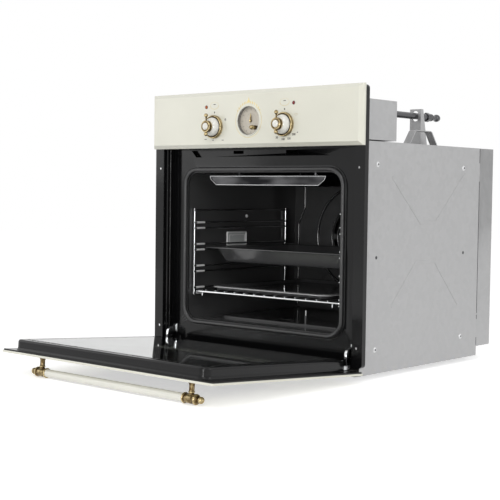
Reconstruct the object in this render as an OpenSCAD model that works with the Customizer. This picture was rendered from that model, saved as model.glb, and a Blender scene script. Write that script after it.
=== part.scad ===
/* [Casing] */
// Width of the front
front_w = 596; // [594:1:600]
// How far the front stands out past each side of the casing
side_flange = 20; // [19:0.5:22]
// Height of the casing
casing_h = 478; // [476:1:482]
// Depth of the casing behind the cabinet face
casing_d = 465; // [460:1:480]
// Depth of the box on the back
rear_box_d = 63; // [40:1:70]
// Thickness of the galvanised sheet
sheet = 1.2; // [0.8:0.1:1.5]
// Depth of the control box behind the cabinet face
control_d = 125; // [120:1:140]
// Height of the control box
control_h = 82.5; // [80:0.5:86]
// Distance from the cabinet face forward to the mounting frame's front
frame_d = 12; // [11:0.5:14]
// Depth of the door recess behind the cabinet face
recess_d = 17.5; // [17:0.5:20]
// Width of each front post
post_w = 25.5; // [25:0.5:26.5]

/* [Fascia] */
// Height of the fascia
fascia_h = 123; // [120:1:128]
// How far the fascia's lower edge sits below the casing's top
fascia_drop = 11; // [9:0.5:12]
// How far the fascia's flat front stands ahead of the mounting frame
fascia_d = 14.4; // [13:0.1:16]
// Width of the sloped border of the fascia
fascia_slope = 8; // [6:0.5:10]
// Distance of each knob from the middle
knob_x = 100; // [96:1:104]
// Height of the knob axes above the fascia's lower edge
knob_up = 46; // [43:0.5:49]
// Diameter of the porcelain knobs
knob_d = 41; // [38:1:42]
// Outer diameter of the bronze bezels
bezel_d = 51; // [50:1:54]
// Distance that the thermostat knob pushes in
push_travel = 3.5; // [2:0.1:3.5]
// Radius of the clock's opening
clock_r = 30.2; // [28:0.1:31]
// Height of the clock's centre above the fascia's lower edge
clock_up = 57; // [54:0.5:58]

/* [Cavity] */
// Space between each side of the casing and the cavity
side_space = 58.8; // [58:0.1:60]
// Space between the cavity's ceiling and the casing's top
top_space = 63.6; // [62:0.1:66]
// Height of the cavity floor above the base
cavity_low = 79.8; // [78:0.1:82]
// Space between the cavity's back wall and the back of the casing
back_space = 60; // [58:0.5:62]
// Corner radius of the cavity's opening
cavity_r = 30; // [26:1:34]
// Thickness of the insulation blanket
blanket_t = 24; // [18:1:25]
// Height of the lowest rung above the cavity's floor
rung_up = 56.9; // [55:0.1:60]
// Distance between shelf levels
level_pitch = 50; // [48:1:52]
// Gap between the two rungs of a level, centre to centre
rung_gap = 13; // [12:0.5:14]
// Number of shelf levels
levels = 4; // [4:1:4]
// Diameter of the rack wire
rack_wire = 4; // [3.5:0.1:4.2]
// Depth of the deep tray's body below its rim
tray_depth = 31; // [25:1:34]
// Number of long wires in the shelf
shelf_wires = 13; // [9:1:15]

/* [Door] */
// Gap between the closed door and the fascia
door_gap = 6; // [5:0.5:9]
// Angle at which the open door stops
door_open = 86; // [80:1:88]
// Thickness of the ivory outer panel
panel_t = 4.5; // [4:0.1:5]
// Thickness of the whole door without its glass
door_t = 29; // [28:0.5:29.5]
// Distance of the liner's raised part from the door's side edges
liner_in = 28; // [27:0.5:29]
// Diameter of the ivory handle rod
handle_d = 16.5; // [14:0.5:18]
// Distance of the handle rod's axis in front of the door
handle_out = 34; // [30:1:38]
// Distance of the handle posts from the door's side edges
handle_in = 86; // [82:1:92]

/* [Gas] */
// Outer diameter of the gas pipe
pipe_d = 15; // [12:0.5:15]
// Distance from the casing's side in to the gas pipe
pipe_side = 128; // [123:1:133]
// Height of the gas pipe above the casing's top
pipe_up = 74; // [72:0.5:75]
// Distance from the pipe's rear end forward of the casing's back
pipe_short = 35; // [25:1:40]
// Diameter of the hose tail's end
tail_d = 13; // [12:0.5:14]

/* [Fits] */
// Radial clearance of a shaft that turns or slides in a hole
run_gap = 0.05; // [0.02:0.01:0.08]
// Gap between pieces that move past each other
part_gap = 0.3; // [0.3:0.05:0.5]
// Distance of the cabinet screws from the side edges of the front
mount_in = 15; // [13:0.5:15]
// Height of the cabinet screw pattern
mount_h = 363; // [350:1:370]
// Diameter of the cabinet screw holes
mount_hole_d = 5; // [4.5:0.1:5.5]

/* [Hidden] */
$fn = 64;

galvanised = [0.76, 0.77, 0.78];
black_enamel = [0.12, 0.12, 0.13];
ivory = [0.93, 0.91, 0.83];
bronze = [0.62, 0.50, 0.30];
porcelain = [0.97, 0.97, 0.95];
bright_steel = [0.85, 0.86, 0.88];
brass_colour = [0.80, 0.66, 0.35];
fibre = [0.55, 0.53, 0.48];
dark_glass = [0.10, 0.11, 0.12];
plastic = [0.25, 0.25, 0.27];

// Planes of the casing and the front
half_front = front_w / 2;
half_casing = half_front - side_flange;
pipe_x = half_casing - pipe_side;
casing_w = 2 * half_casing;
mount_w = front_w - 2 * mount_in;
fascia_low = casing_h - fascia_drop;
knob_z = fascia_low + knob_up;
clock_z = fascia_low + clock_up;
pipe_z = casing_h + pipe_up;
pipe_end = casing_d - pipe_short;
inside_w = casing_w - 2 * sheet;
frame_t = 1.5;
frame_front = -frame_d;
frame_rear = frame_front + frame_t;
frame_low = 20;
frame_high = fascia_low + fascia_h - 2;
frame_r = 8;
recess_w = front_w - 2 * post_w;
plate_front = recess_d;
plate_rear = recess_d + sheet;
control_low = casing_h + 2.5;
control_high = control_low + control_h;

// Planes of the cavity
wall = sheet;
cavity_w = casing_w - 2 * side_space;
cavity_high = casing_h - top_space;
cavity_h = cavity_high - cavity_low;
cavity_back = casing_d - back_space;
cavity_mid = (cavity_low + cavity_high) / 2;
cavity_side = cavity_w / 2;
fan_z = cavity_mid + 17.9;
baffle_y = cavity_back - 25.5;
baffle_t = 1.5;

// Rungs and shelves
first_rung = cavity_low + rung_up;
rung_x = cavity_side - 8.6;
post_x = rung_x + 0.8 * rack_wire;
rack_front = 32;
rack_rear = cavity_back - 45;
rack_high = first_rung + (levels - 1) * level_pitch + rung_gap + 28.3;
tray_level = 2;
tray_rim_z = first_rung + tray_level * level_pitch + rack_wire / 2 + part_gap;
tray_t = 1.2;
tray_lip = 4;
tray_w = 2 * rung_x + 1;
tray_body_w = tray_w - 52.2;
tray_front = 57;
tray_rear = cavity_back - 33;
tray_body_front = 80;
tray_body_rear = tray_rear - 22;
frame_wire = 5;
cross_wire = 3;
shelf_z = first_rung + rack_wire / 2 + part_gap + frame_wire / 2;
shelf_w = 2 * rung_x + 1.8;
shelf_front = 33;
shelf_rear = cavity_back - 33;
wire_span = 2 * rung_x - 69.2;
weld = 0.5;
cross_z = shelf_z + (frame_wire + cross_wire) / 2 - weld;
flat_w = 2 * rung_x - 83.2;
flat_low = cross_z + cross_wire / 2 + part_gap;
flat_h = 10;
flat_front = 36;
flat_rear = cavity_back - 31;
flat_rim = 7;

// Door and hinge
hinge_y = -6.5;
hinge_z = 20.5;
door_face = -21.2;
door_base = 18;
door_h = fascia_low - door_gap - door_base;
hinge_t = hinge_y - door_face;
hinge_s = hinge_z - door_base;
liner_w = front_w - 2 * liner_in;
liner_low = 20;
liner_high = door_h - 11;
liner_h = liner_high - liner_low;
liner_mid = (liner_low + liner_high) / 2;
liner_r = 16;
liner_t = 1.5;
glass_w = liner_w - 40;
glass_h = liner_h - 34;
glass_t = 4.6;
glass_gap = 0.5;
arm_x = recess_w / 2 - 15.5;
arm_t = 3;
pin_r = 3;
boss_r = 6;
cheek_t = 1.5;
cheek_gap = 2;
cheek_in = arm_x - arm_t / 2 - cheek_gap - cheek_t;
cheek_out = arm_x + arm_t / 2 + cheek_gap + cheek_t;
pocket_in = cheek_in - 1.2;
pocket_out = cheek_out + 1;
pocket_high = 50;
handle_s = door_h - 39;
handle_x = half_front - handle_in;
handle_half = handle_x - 17;

// Controls
fascia_front = frame_front - fascia_d;
fascia_edge = frame_front - 6;
fascia_t = 1.5;
knob_r = knob_d / 2;
stem_r = 4;
bezel_base = 1.5;
bezel_h = 8;
knob_back = fascia_front - bezel_base - push_travel - 0.6;
knob_nose = 27;
nose_r = 9.6;
ring_at = 14.5;
ring_h = 9.5;
ring_r = 12.8;
upper_arm = 24;
lower_arm = 16.8;
arm_lean = 2;
ball_r = 4.5;
plunger_nose = knob_back - 14;
clock_tube = 1.2;
dial_y = fascia_front + 8;
dial_t = 1.4;
lamp_x = knob_x + 24.4;
lamp_z = fascia_low + 90;
lamp_r = 4;
set_x = 20;
set_z = clock_z - 15.5;
set_r = 2;
minute_r = 1.5;
hour_r = 2.5;

// Places of the screws on the side of the casing, as depth and height
side_screws = [[60, casing_h - 47], [casing_d - 71, casing_h - 47], [60, 50], [casing_d - 71, 50]];
side_holes = [[60, casing_h / 2 + 1], [casing_d - 66, casing_h / 2 + 1]];
screw_r = 2;
screw_head_r = 4.2;
screw_head_h = 2;
screw_len = 6;

// A box between two opposite corners
module block(a, b) {
    translate(a) cube(b - a);
}

// The same shape on the right and mirrored on the left
module both_sides() {
    children();
    mirror([1, 0, 0]) children();
}

// A flat outline in X and Z, made solid from y0 to y1
module across_y(y0, y1) {
    translate([0, y1, 0]) rotate([90, 0, 0]) linear_extrude(y1 - y0) children();
}

// A flat outline in Y and Z, made solid from x0 to x1
module across_x(x0, x1) {
    translate([x0, 0, 0]) rotate([90, 0, 90]) linear_extrude(x1 - x0) children();
}

// A flat outline in X and Y, made solid from z0 to z1
module across_z(z0, z1) {
    translate([0, 0, z0]) linear_extrude(z1 - z0) children();
}

// A rectangle with round corners, about its own middle
module rounded(w, h, r) {
    square([w - 2 * r, h], center = true);
    square([w, h - 2 * r], center = true);
    for (x = [-1, 1], y = [-1, 1])
        translate([x * (w / 2 - r), y * (h / 2 - r)]) circle(r);
}

// A rectangle between two corners in the plane
module area(a, b) {
    translate(a) square(b - a);
}

// A half outline of radius and height, turned about an axis that points forward
module turned_forward(at) {
    translate(at) rotate([90, 0, 0]) rotate_extrude() children();
}

// A half outline turned about an axis that points backward
module turned_back(at) {
    translate(at) rotate([-90, 0, 0]) rotate_extrude() children();
}

// A half outline turned about an axis that points to the right
module turned_right(at) {
    translate(at) rotate([0, 90, 0]) rotate_extrude() children();
}

// A round peg of radius r that runs backward from a point
module peg(at, r, h) {
    translate(at) rotate([-90, 0, 0]) cylinder(r = r, h = h);
}

// A round rod from one point to another
module rod(a, b, d) {
    v = b - a;
    len = norm(v);
    translate(a) rotate([0, acos(v.z / len), atan2(v.y, v.x)]) cylinder(d = d, h = len);
}

// A bent rod through a list of points, with round bends
module bent_rod(points, d) {
    for (i = [1 : len(points) - 1]) rod(points[i - 1], points[i], d);
    for (i = [1 : len(points) - 2]) translate(points[i]) sphere(d = d);
}

// A straight bar in the plane, between two points
module bar(a, b, w) {
    v = b - a;
    translate(a) rotate(atan2(v.y, v.x)) translate([0, -w / 2]) square([norm(v), w]);
}

// Casing

// Pressed ribs of the side panel, standing 1 mm outward
module side_ribs() {
    rib_w = 7;
    rib_end = rib_w + 0.8;
    top = casing_h - 168;
    back = casing_d - 183;
    upper = [[117, top + 94], [223, top], [back + 1, top], [back + 118, top + 106]];
    lower = [[120, 137], [208, 225], [back, 225], [back + 96, 127]];
    for (line = [upper, lower]) {
        for (i = [1 : 3]) bar(line[i - 1], line[i], rib_w);
        for (p = line) translate(p) circle(d = rib_end);
    }
}

module side_panel() {
    rib_h = 0.5;
    hole_r = 3;
    notch_d = 8;
    notch_h = frame_low + frame_t + 0.5;
    across_x(half_casing - sheet, half_casing) difference() {
        area([frame_rear, 0], [casing_d, casing_h]);
        area([frame_rear - 1, -1], [notch_d, notch_h]);
        for (p = side_screws) translate(p) circle(screw_r + 0.1);
        for (p = side_holes) translate(p) circle(hole_r);
    }
    across_x(half_casing - sheet / 2, half_casing + rib_h) side_ribs();
}

module left_side_panel() {
    color(galvanised) mirror([1, 0, 0]) side_panel();
}

module right_side_panel() {
    color(galvanised) side_panel();
}

feed_x = knob_x;
feed_y = 45;
feed_d = 8;
feed_hole = feed_d / 2 + 1;

module top_panel() {
    color(galvanised) difference() {
        block([-inside_w / 2, plate_rear, casing_h - sheet], [inside_w / 2, casing_d - sheet, casing_h]);
        translate([feed_x, feed_y, casing_h - sheet - 1]) cylinder(r = feed_hole, h = sheet + 2);
    }
}

module bottom_panel() {
    lip = 4;
    color(galvanised) block([-inside_w / 2, -lip, 0], [inside_w / 2, casing_d - sheet, sheet]);
}

flue_w = 120;
flue_low = cavity_high - 36;
flue_high = cavity_high - 14;

module rear_panel() {
    color(galvanised) across_y(casing_d - sheet, casing_d) difference() {
        area([-inside_w / 2, 0], [inside_w / 2, casing_h]);
        area([-flue_w / 2, flue_low], [flue_w / 2, flue_high]);
    }
}

module rear_box() {
    low = 20.5;
    half = half_casing - 2;
    back = casing_d + rear_box_d;
    slot_w = 60;
    slot_pitch = 75;
    notch_low = casing_h - 44;
    notch_d = 2;
    color(galvanised) difference() {
        block([-half, casing_d, low], [half, back, casing_h]);
        block([-half + sheet, casing_d - 1, low + sheet], [half - sheet, back - sheet, casing_h - sheet]);
        for (i = [-3 : 3])
            block([i * slot_pitch - slot_w / 2, back - 22, casing_h - sheet - 1],
                [i * slot_pitch + slot_w / 2, back - 16, casing_h + 1]);
        both_sides()
            block([half - sheet - 1, casing_d - 1, notch_low], [half + 1, casing_d + notch_d, casing_h + 1]);
    }
}

cable_x = -135;
cable_z = control_low + 20;
cable_r = 8;

module control_box() {
    front = frame_rear;
    color(galvanised) difference() {
        block([-half_casing, front, control_low], [half_casing, control_d, control_high]);
        block([-half_casing + sheet, front - 1, control_low + sheet],
            [half_casing - sheet, control_d - sheet, control_high - sheet]);
        translate([feed_x, feed_y, control_low - 1]) cylinder(r = feed_hole, h = sheet + 2);
        peg([pipe_x, control_d - sheet - 1, pipe_z], pipe_d / 2 + 0.5, sheet + 2);
        peg([cable_x, control_d - sheet - 1, cable_z], cable_r, sheet + 2);
    }
}

// Front

module mounting_frame() {
    mid = (frame_low + frame_high) / 2;
    tall = frame_high - frame_low;
    shaft_hole = 12;
    color(black_enamel) difference() {
        union() {
            across_y(frame_front, frame_rear) translate([0, mid]) rounded(front_w, tall, frame_r);
            across_y(frame_rear, 0) translate([0, mid]) difference() {
                rounded(front_w, tall, frame_r);
                rounded(front_w - 2 * frame_t, tall - 2 * frame_t, frame_r - frame_t);
            }
            across_y(frame_rear, plate_front) difference() {
                area([-recess_w / 2 - frame_t, frame_low], [recess_w / 2 + frame_t, fascia_low + frame_t]);
                area([-recess_w / 2, frame_low - 1], [recess_w / 2, fascia_low]);
            }
        }
        block([-recess_w / 2, frame_front - 1, frame_low - 1], [recess_w / 2, plate_front + 1, fascia_low]);
        for (x = [-knob_x, knob_x])
            peg([x, frame_front - 1, knob_z], shaft_hole, frame_t + 2);
        peg([0, frame_front - 1, clock_z], clock_r + 3, frame_t + 2);
        for (x = [-lamp_x, lamp_x])
            peg([x, frame_front - 1, lamp_z], lamp_r + 1, frame_t + 2);
        for (x = [-mount_w / 2, mount_w / 2], z = [60, 60 + mount_h])
            peg([x, frame_front - 1, z], mount_hole_d / 2, frame_t + 2);
    }
}

// Outline of the vent trough under the fascia, wider by a margin on all sides
module vent_outline(margin) {
    vent_top = 212;
    vent_foot = 197;
    high = vent_high + margin;
    low = vent_low - margin;
    polygon([
        [-vent_top - margin, high], [vent_top + margin, high],
        [vent_foot + margin, low], [-vent_foot - margin, low]]);
}

vent_low = casing_h - 29.5;
vent_high = casing_h - 14;
vent_deep = 11;

module front_plate() {
    outlet_x = 76;
    outlet_w = 30;
    outlet_h = 7;
    color(black_enamel) difference() {
        union() {
            across_y(plate_front, plate_rear) area([-inside_w / 2, sheet], [inside_w / 2, casing_h]);
            across_y(plate_front, plate_front + vent_deep) vent_outline(sheet);
        }
        across_y(plate_front - 1, plate_front + vent_deep - sheet) vent_outline(0);
        across_y(plate_front - 1, plate_rear + 1) {
            translate([0, cavity_mid]) rounded(cavity_w, cavity_h, cavity_r);
            for (x = [-arm_x, arm_x]) translate([x, 53.5]) square([arm_t + 1.2, 18], center = true);
        }
        for (x = [-outlet_x, outlet_x])
            block([x - outlet_w / 2, plate_front, vent_high - outlet_h - 1.5],
                [x + outlet_w / 2, plate_front + vent_deep + 1, vent_high - 1.5]);
    }
}

module door_gasket() {
    bead_r = 5;
    lip_w = 13.4;
    lip_t = 2;
    bead_y = plate_front - 3.6;
    half_w = (cavity_w + lip_w) / 2;
    half_h = (cavity_h + lip_w) / 2;
    bend_r = cavity_r + lip_w / 2;
    color(fibre) difference() {
        union() {
            across_y(plate_front - lip_t, plate_front) translate([0, cavity_mid]) difference() {
                rounded(cavity_w + 2 * lip_w, cavity_h + 2 * lip_w, cavity_r + lip_w);
                rounded(cavity_w, cavity_h, cavity_r);
            }
            for (side = [-1, 1]) {
                translate([side * half_w, bead_y, cavity_mid - half_h + bend_r])
                    cylinder(r = bead_r, h = 2 * (half_h - bend_r));
                translate([-half_w + bend_r, bead_y, cavity_mid + side * half_h])
                    rotate([0, 90, 0]) cylinder(r = bead_r, h = 2 * (half_w - bend_r));
            }
            for (i = [0 : 3]) {
                right = i == 0 || i == 3 ? 1 : -1;
                upper = i < 2 ? 1 : -1;
                translate([right * (half_w - bend_r), bead_y, cavity_mid + upper * (half_h - bend_r)])
                    rotate([90, 0, 0]) rotate([0, 0, i * 90])
                    rotate_extrude(angle = 90) translate([bend_r, 0]) circle(bead_r);
            }
        }
        block([-half_w - 20, plate_front, 0], [half_w + 20, plate_front + 10, casing_h]);
    }
}

// Cavity

lamp_y = 181.5;
lamp_window_z = cavity_mid + 12.4;
lamp_window_w = 61;
lamp_window_h = 25;
igniter_x = 57;
igniter_y = 109;
igniter_r = 3.5;
shaft_r = 4;

module cavity() {
    flame_w = 110;
    color(black_enamel) difference() {
        across_y(plate_rear, cavity_back + wall) translate([0, cavity_mid])
            rounded(cavity_w + 2 * wall, cavity_h + 2 * wall, cavity_r + wall);
        across_y(plate_rear - 1, cavity_back) translate([0, cavity_mid])
            rounded(cavity_w, cavity_h, cavity_r);
        block([-cavity_side - wall - 1, lamp_y - lamp_window_w / 2, lamp_window_z - lamp_window_h / 2],
            [-cavity_side + 1, lamp_y + lamp_window_w / 2, lamp_window_z + lamp_window_h / 2]);
        block([-flame_w, 130, cavity_low - wall - 1], [flame_w, cavity_back - 75, cavity_low + 1]);
        block([-flue_w / 2, cavity_back - 1, flue_low], [flue_w / 2, cavity_back + wall + 1, flue_high]);
        translate([igniter_x, igniter_y, cavity_low - wall - 1]) cylinder(r = igniter_r + 0.5, h = wall + 2);
        peg([0, cavity_back - 1, fan_z], shaft_r + 1, wall + 2);
    }
}

motor_r = 30;
motor_plate_r = 34;

module insulation() {
    gap = 0.3;
    inner_w = cavity_w + 2 * wall + 2 * gap;
    inner_h = cavity_h + 2 * wall + 2 * gap;
    half = inner_w / 2 + blanket_t;
    under_half = cavity_side - 69.2;
    low = cavity_low - wall - gap - 18;
    high = cavity_high + wall + gap + blanket_t;
    back = cavity_back + wall + gap;
    color(fibre) difference() {
        block([-half, plate_rear, low], [half, back + blanket_t, high]);
        across_y(plate_rear - 1, back) translate([0, cavity_mid])
            rounded(inner_w, inner_h, cavity_r + wall + gap);
        block([-under_half, 80, low - 1], [under_half, cavity_back - 15, cavity_low]);
        block([-half - 1, lamp_y - 42, lamp_window_z - 24], [-cavity_side, lamp_y + 42, lamp_window_z + 24]);
        block([-flue_w / 2, back - 1, flue_low], [flue_w / 2, back + blanket_t + 1, flue_high]);
        peg([0, back - 1, fan_z], motor_plate_r + 1, blanket_t + 2);
    }
}

module oven_burner() {
    tube_r = 14;
    front = 110;
    back = cavity_back - 55;
    burner_z = 45;
    port_r = 1.5;
    ports = 12;
    port_pitch = (back - front - 40) / (ports - 1);
    color(bright_steel) difference() {
        union() {
            peg([0, front, burner_z], tube_r, back - front);
            for (y = [front + 20, back - 20]) block([-8, y - 4, sheet], [8, y + 4, burner_z - tube_r + 1]);
        }
        peg([0, front + 2, burner_z], tube_r - 1.2, back - front - 4);
        for (i = [0 : ports - 1], side = [-1, 1])
            translate([0, front + 20 + i * port_pitch, burner_z]) rotate([0, side * 45, 0])
                cylinder(r = port_r, h = tube_r + 2);
    }
}

module burner_pipe() {
    high = casing_h - 19;
    low = 24;
    down_x = cavity_side + blanket_t + 19;
    across = 100;
    color(brass_colour) bent_rod([
        [feed_x, feed_y, knob_z - 21.5], [feed_x, feed_y, high], [feed_x, across, high],
        [down_x, across, high], [down_x, across, low], [0, across, low], [0, across, 45], [0, 110, 45]
    ], feed_d);
}

grill_top = cavity_high - 7.4;
grill_front = 32;
grill_back = cavity_back - 75;

module grill_reflector() {
    low = grill_top - 21;
    top_half = cavity_side - 52.2;
    low_half = top_half - 19;
    stud_x = top_half - 57;
    stud_low = grill_top - sheet / 2;
    color(bright_steel) difference() {
        union() {
            across_y(grill_front, grill_back) polygon([
                [-top_half, grill_top], [-low_half, low], [low_half, low], [top_half, grill_top]]);
            for (x = [-stud_x, stud_x], y = [grill_front + 38, grill_back - 40])
                translate([x, y, stud_low]) cylinder(r = 4, h = cavity_high - stud_low);
        }
        across_y(grill_front + sheet, grill_back - sheet) polygon([
            [-top_half + 2, grill_top - sheet], [-low_half + 1, low - 1.2],
            [low_half - 1, low - 1.2], [top_half - 2, grill_top - sheet]]);
    }
}

module grill_burner() {
    tube_r = 7;
    tube_z = grill_top - 11;
    tube_x = cavity_side - 129.2;
    front = grill_front + 28;
    back = grill_back - 20;
    color(bright_steel) {
        difference() {
            union() {
                for (x = [-tube_x, tube_x]) peg([x, front, tube_z], tube_r, back - front);
                translate([-tube_x, back - 12, tube_z]) rotate([0, 90, 0])
                    cylinder(r = tube_r, h = 2 * tube_x);
                for (x = [-tube_x, tube_x]) block([x - 5, 180, tube_z], [x + 5, 190, grill_top - sheet]);
            }
            for (x = [-tube_x, tube_x], i = [0 : 9]) translate([x, front + 20 + i * 22, tube_z - tube_r - 1])
                cylinder(r = 1.5, h = tube_r);
        }
    }
}

// One curved slot of the fan guard, between two radii
module arc_slot(inner, outer, from, to) {
    mid = (from + to) / 2;
    intersection() {
        difference() {
            circle(outer);
            circle(inner);
        }
        polygon([[0, 0], 2 * outer * [cos(from), sin(from)], 2 * outer * [cos(mid), sin(mid)],
            2 * outer * [cos(to), sin(to)]]);
    }
}

module fan_baffle() {
    half = cavity_side - 34.2;
    upper_half = half - 19;
    low = cavity_low + 12;
    shoulder = fan_z + 29;
    neck = fan_z + 68;
    high = cavity_high - 12;
    rim_r = 126;
    rim_w = 5;
    rim_h = 3;
    spacer_r = 4;
    spacer_x = upper_half - 16;
    color(black_enamel) {
        across_y(baffle_y, baffle_y + baffle_t) difference() {
            polygon([[-half, low], [half, low], [half, shoulder], [upper_half, neck],
                [upper_half, high], [-upper_half, high], [-upper_half, neck], [-half, shoulder]]);
            translate([0, fan_z]) for (i = [0 : 5]) {
                arc_slot(48, 58, i * 60 + 5, i * 60 + 55);
                arc_slot(66, 76, i * 60 + 5, i * 60 + 55);
            }
            translate([0, fan_z]) circle(12);
        }
        across_y(baffle_y - rim_h, baffle_y) translate([0, fan_z]) difference() {
            circle(rim_r);
            circle(rim_r - rim_w);
        }
        for (x = [-spacer_x, spacer_x], z = [low + 20, high - 20])
            peg([x, baffle_y + baffle_t, z], spacer_r, cavity_back - baffle_y - baffle_t);
    }
}

fan_back = cavity_back - 3;

module fan_wheel() {
    disc_r = 72;
    disc_t = 1.2;
    blade_h = 15;
    blade_t = 1.2;
    hub_r = 10;
    color(bright_steel) {
        peg([0, fan_back - disc_t, fan_z], disc_r, disc_t);
        peg([0, fan_back - blade_h, fan_z], hub_r, blade_h);
        for (i = [0 : 11]) translate([0, 0, fan_z]) rotate([0, i * 30, 0])
            block([30, fan_back - blade_h, -blade_t / 2], [disc_r - 2, fan_back - disc_t / 2, blade_t / 2]);
        peg([0, fan_back - 1, fan_z], shaft_r, 28);
    }
}

module fan_motor() {
    front = cavity_back + wall;
    plate_t = 3;
    body_h = 36;
    color(plastic) difference() {
        union() {
            peg([0, front, fan_z], motor_plate_r, plate_t);
            peg([0, front + plate_t, fan_z], motor_r, body_h);
        }
        peg([0, front - 1, fan_z], shaft_r + run_gap, 26);
    }
}

module lamp_window() {
    flange = 4;
    flange_t = 2.2;
    plug = 4;
    fit = 0.5;
    color([0.85, 0.88, 0.85]) translate([0, lamp_y, lamp_window_z]) {
        across_x(-cavity_side, -cavity_side + flange_t)
            square([lamp_window_w + 2 * flange, lamp_window_h + 2 * flange], center = true);
        across_x(-cavity_side - plug, -cavity_side)
            square([lamp_window_w - 2 * fit, lamp_window_h - 2 * fit], center = true);
    }
}

module oven_lamp() {
    back = -cavity_side - 44;
    front = -cavity_side - 4;
    cup_r = 17;
    color(porcelain) translate([0, lamp_y, lamp_window_z]) difference() {
        across_x(back, front) circle(cup_r);
        across_x(back + 8, front + 1) circle(cup_r - 3);
    }
    color([1, 0.95, 0.8]) turned_right([back + 7, lamp_y, lamp_window_z]) polygon([
        [0, 0], [6, 0], [6, 8], [9, 14], [9, 22], [6, 27], [0, 28]]);
}

// A chromed side rack, drawn for the right wall
module rack() {
    over = 4;
    peg_d = rack_wire - 1;
    pegs = [first_rung + rung_gap + over, rack_high - over];
    for (y = [rack_front, rack_rear]) {
        rod([post_x, y, first_rung - over], [post_x, y, rack_high + over], rack_wire);
        for (z = pegs) rod([post_x, y, z], [cavity_side, y, z], peg_d);
    }
    for (i = [0 : levels - 1], up = [0, rung_gap])
        let (z = first_rung + i * level_pitch + up)
            rod([rung_x, rack_front - 7, z], [rung_x, rack_rear + 5, z], rack_wire);
    rod([rung_x, rack_front - 7, rack_high], [rung_x, rack_rear + 5, rack_high], rack_wire);
}

module left_rack() {
    color(bright_steel) mirror([1, 0, 0]) rack();
}

module right_rack() {
    color(bright_steel) rack();
}

module sole_plate() {
    half = cavity_side - 55.2;
    front = 80;
    back = cavity_back - 37;
    top = cavity_low + 4.2;
    plate_t = 1.5;
    notch_r = 19;
    color(black_enamel) difference() {
        block([-half, front, cavity_low], [half, back, top]);
        block([-half + plate_t, front + plate_t, cavity_low - 1],
            [half - plate_t, back - plate_t, top - plate_t]);
        translate([0, igniter_y + 2, cavity_low - 1]) cylinder(r = notch_r, h = 10);
        translate([igniter_x, igniter_y, cavity_low - 1]) cylinder(r = igniter_r + 4, h = 10);
    }
}

module sensing_bulb() {
    x = cavity_side - 39.2;
    bulb_z = cavity_high - 16;
    back = cavity_back - 45;
    front = back - 170;
    color(bright_steel) {
        rod([x, front, bulb_z], [x, back, bulb_z], 6);
        for (y = [front + 25, back - 25]) rod([x, y, bulb_z], [x, y, cavity_high], 4);
    }
}

module igniter() {
    collar_r = 8;
    color(porcelain) {
        translate([igniter_x, igniter_y, 45]) cylinder(r = igniter_r, h = 55);
        translate([igniter_x, igniter_y, cavity_low - wall - 3]) cylinder(r = collar_r, h = 3);
    }
    color(bright_steel) translate([igniter_x, igniter_y, 99]) cylinder(r = 1.2, h = 13);
}

// Controls

module fascia() {
    low = fascia_low;
    high = fascia_low + fascia_h;
    slope = fascia_slope;
    color(ivory) difference() {
        hull() {
            block([-half_front, fascia_edge, low], [half_front, frame_front, high]);
            block([-half_front + slope, fascia_front, low + slope],
                [half_front - slope, fascia_edge, high - slope]);
        }
        hull() {
            block([-half_front + fascia_t, fascia_edge + 1, low + fascia_t],
                [half_front - fascia_t, frame_front + 1, high - fascia_t]);
            block([-half_front + slope + 0.5, fascia_front + fascia_t, low + slope + 0.5],
                [half_front - slope - 0.5, fascia_edge + 1, high - slope - 0.5]);
        }
        for (x = [-knob_x, knob_x])
            peg([x, fascia_front - 1, knob_z], stem_r + 1.5, 5);
        peg([0, fascia_front - 1, clock_z], clock_r + clock_tube, 5);
        for (x = [-lamp_x, lamp_x])
            peg([x, fascia_front - 1, lamp_z], lamp_r - 0.8, 5);
    }
}

module knob_bezels() {
    outer = bezel_d / 2;
    inner = knob_r + 1.3;
    color(bronze) for (x = [-knob_x, knob_x]) turned_forward([x, fascia_front, knob_z]) polygon([
        [stem_r + 1, 0], [outer - 0.5, 0], [outer, 1], [outer, bezel_h - 2], [outer - 0.8, bezel_h - 0.4],
        [outer - 1.6, bezel_h], [outer - 2.4, bezel_h], [inner, bezel_h - 3], [inner, bezel_base],
        [stem_r + 1, bezel_base]]);
}

// Porcelain part of a knob, as radius and height ahead of its back face
module knob_outline(hollow) {
    polygon([
        [hollow, 0], [knob_r - 0.8, 0], [knob_r, 1.2],
        [knob_r - 0.5, 5], [knob_r - 2.4, 8.6], [knob_r - 5.6, 11.6],
        [nose_r + 1.4, ring_at - 0.5], [nose_r, ring_at], [nose_r, knob_nose - 2.5],
        [nose_r - 0.8, knob_nose - 0.9],
        [nose_r - 2.4, knob_nose], [hollow, knob_nose]]);
}

// Bronze ring of a knob with its two ball arms, upright
module ring_arms() {
    arm_y = knob_back - ring_at - ring_h / 2;
    difference() {
        union() {
            turned_forward([0, knob_back - ring_at, knob_z]) polygon([
                [nose_r - 0.1, 0], [ring_r - 1, 0], [ring_r, 1], [ring_r, ring_h - 1], [ring_r - 1, ring_h],
                [nose_r - 0.1, ring_h]]);
            for (out = [upper_arm, -lower_arm]) {
                rod([0, arm_y, knob_z + sign(out) * (ring_r - 1)], [0, arm_y - arm_lean, knob_z + out], 4);
                translate([0, arm_y - arm_lean, knob_z + out]) sphere(r = ball_r);
            }
        }
        translate([0, knob_back, knob_z]) rotate([90, 0, 0]) cylinder(r = nose_r, h = knob_nose + 5);
    }
}

module function_knob() {
    stem_back = 2;
    color(porcelain) translate([-knob_x, 0, 0]) {
        turned_forward([0, knob_back, knob_z]) knob_outline(0);
        peg([0, knob_back - 1, knob_z], stem_r, 1 - knob_back + stem_back);
    }
}

module function_knob_ring() {
    color(bronze) translate([-knob_x, 0, 0]) ring_arms();
}

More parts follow.
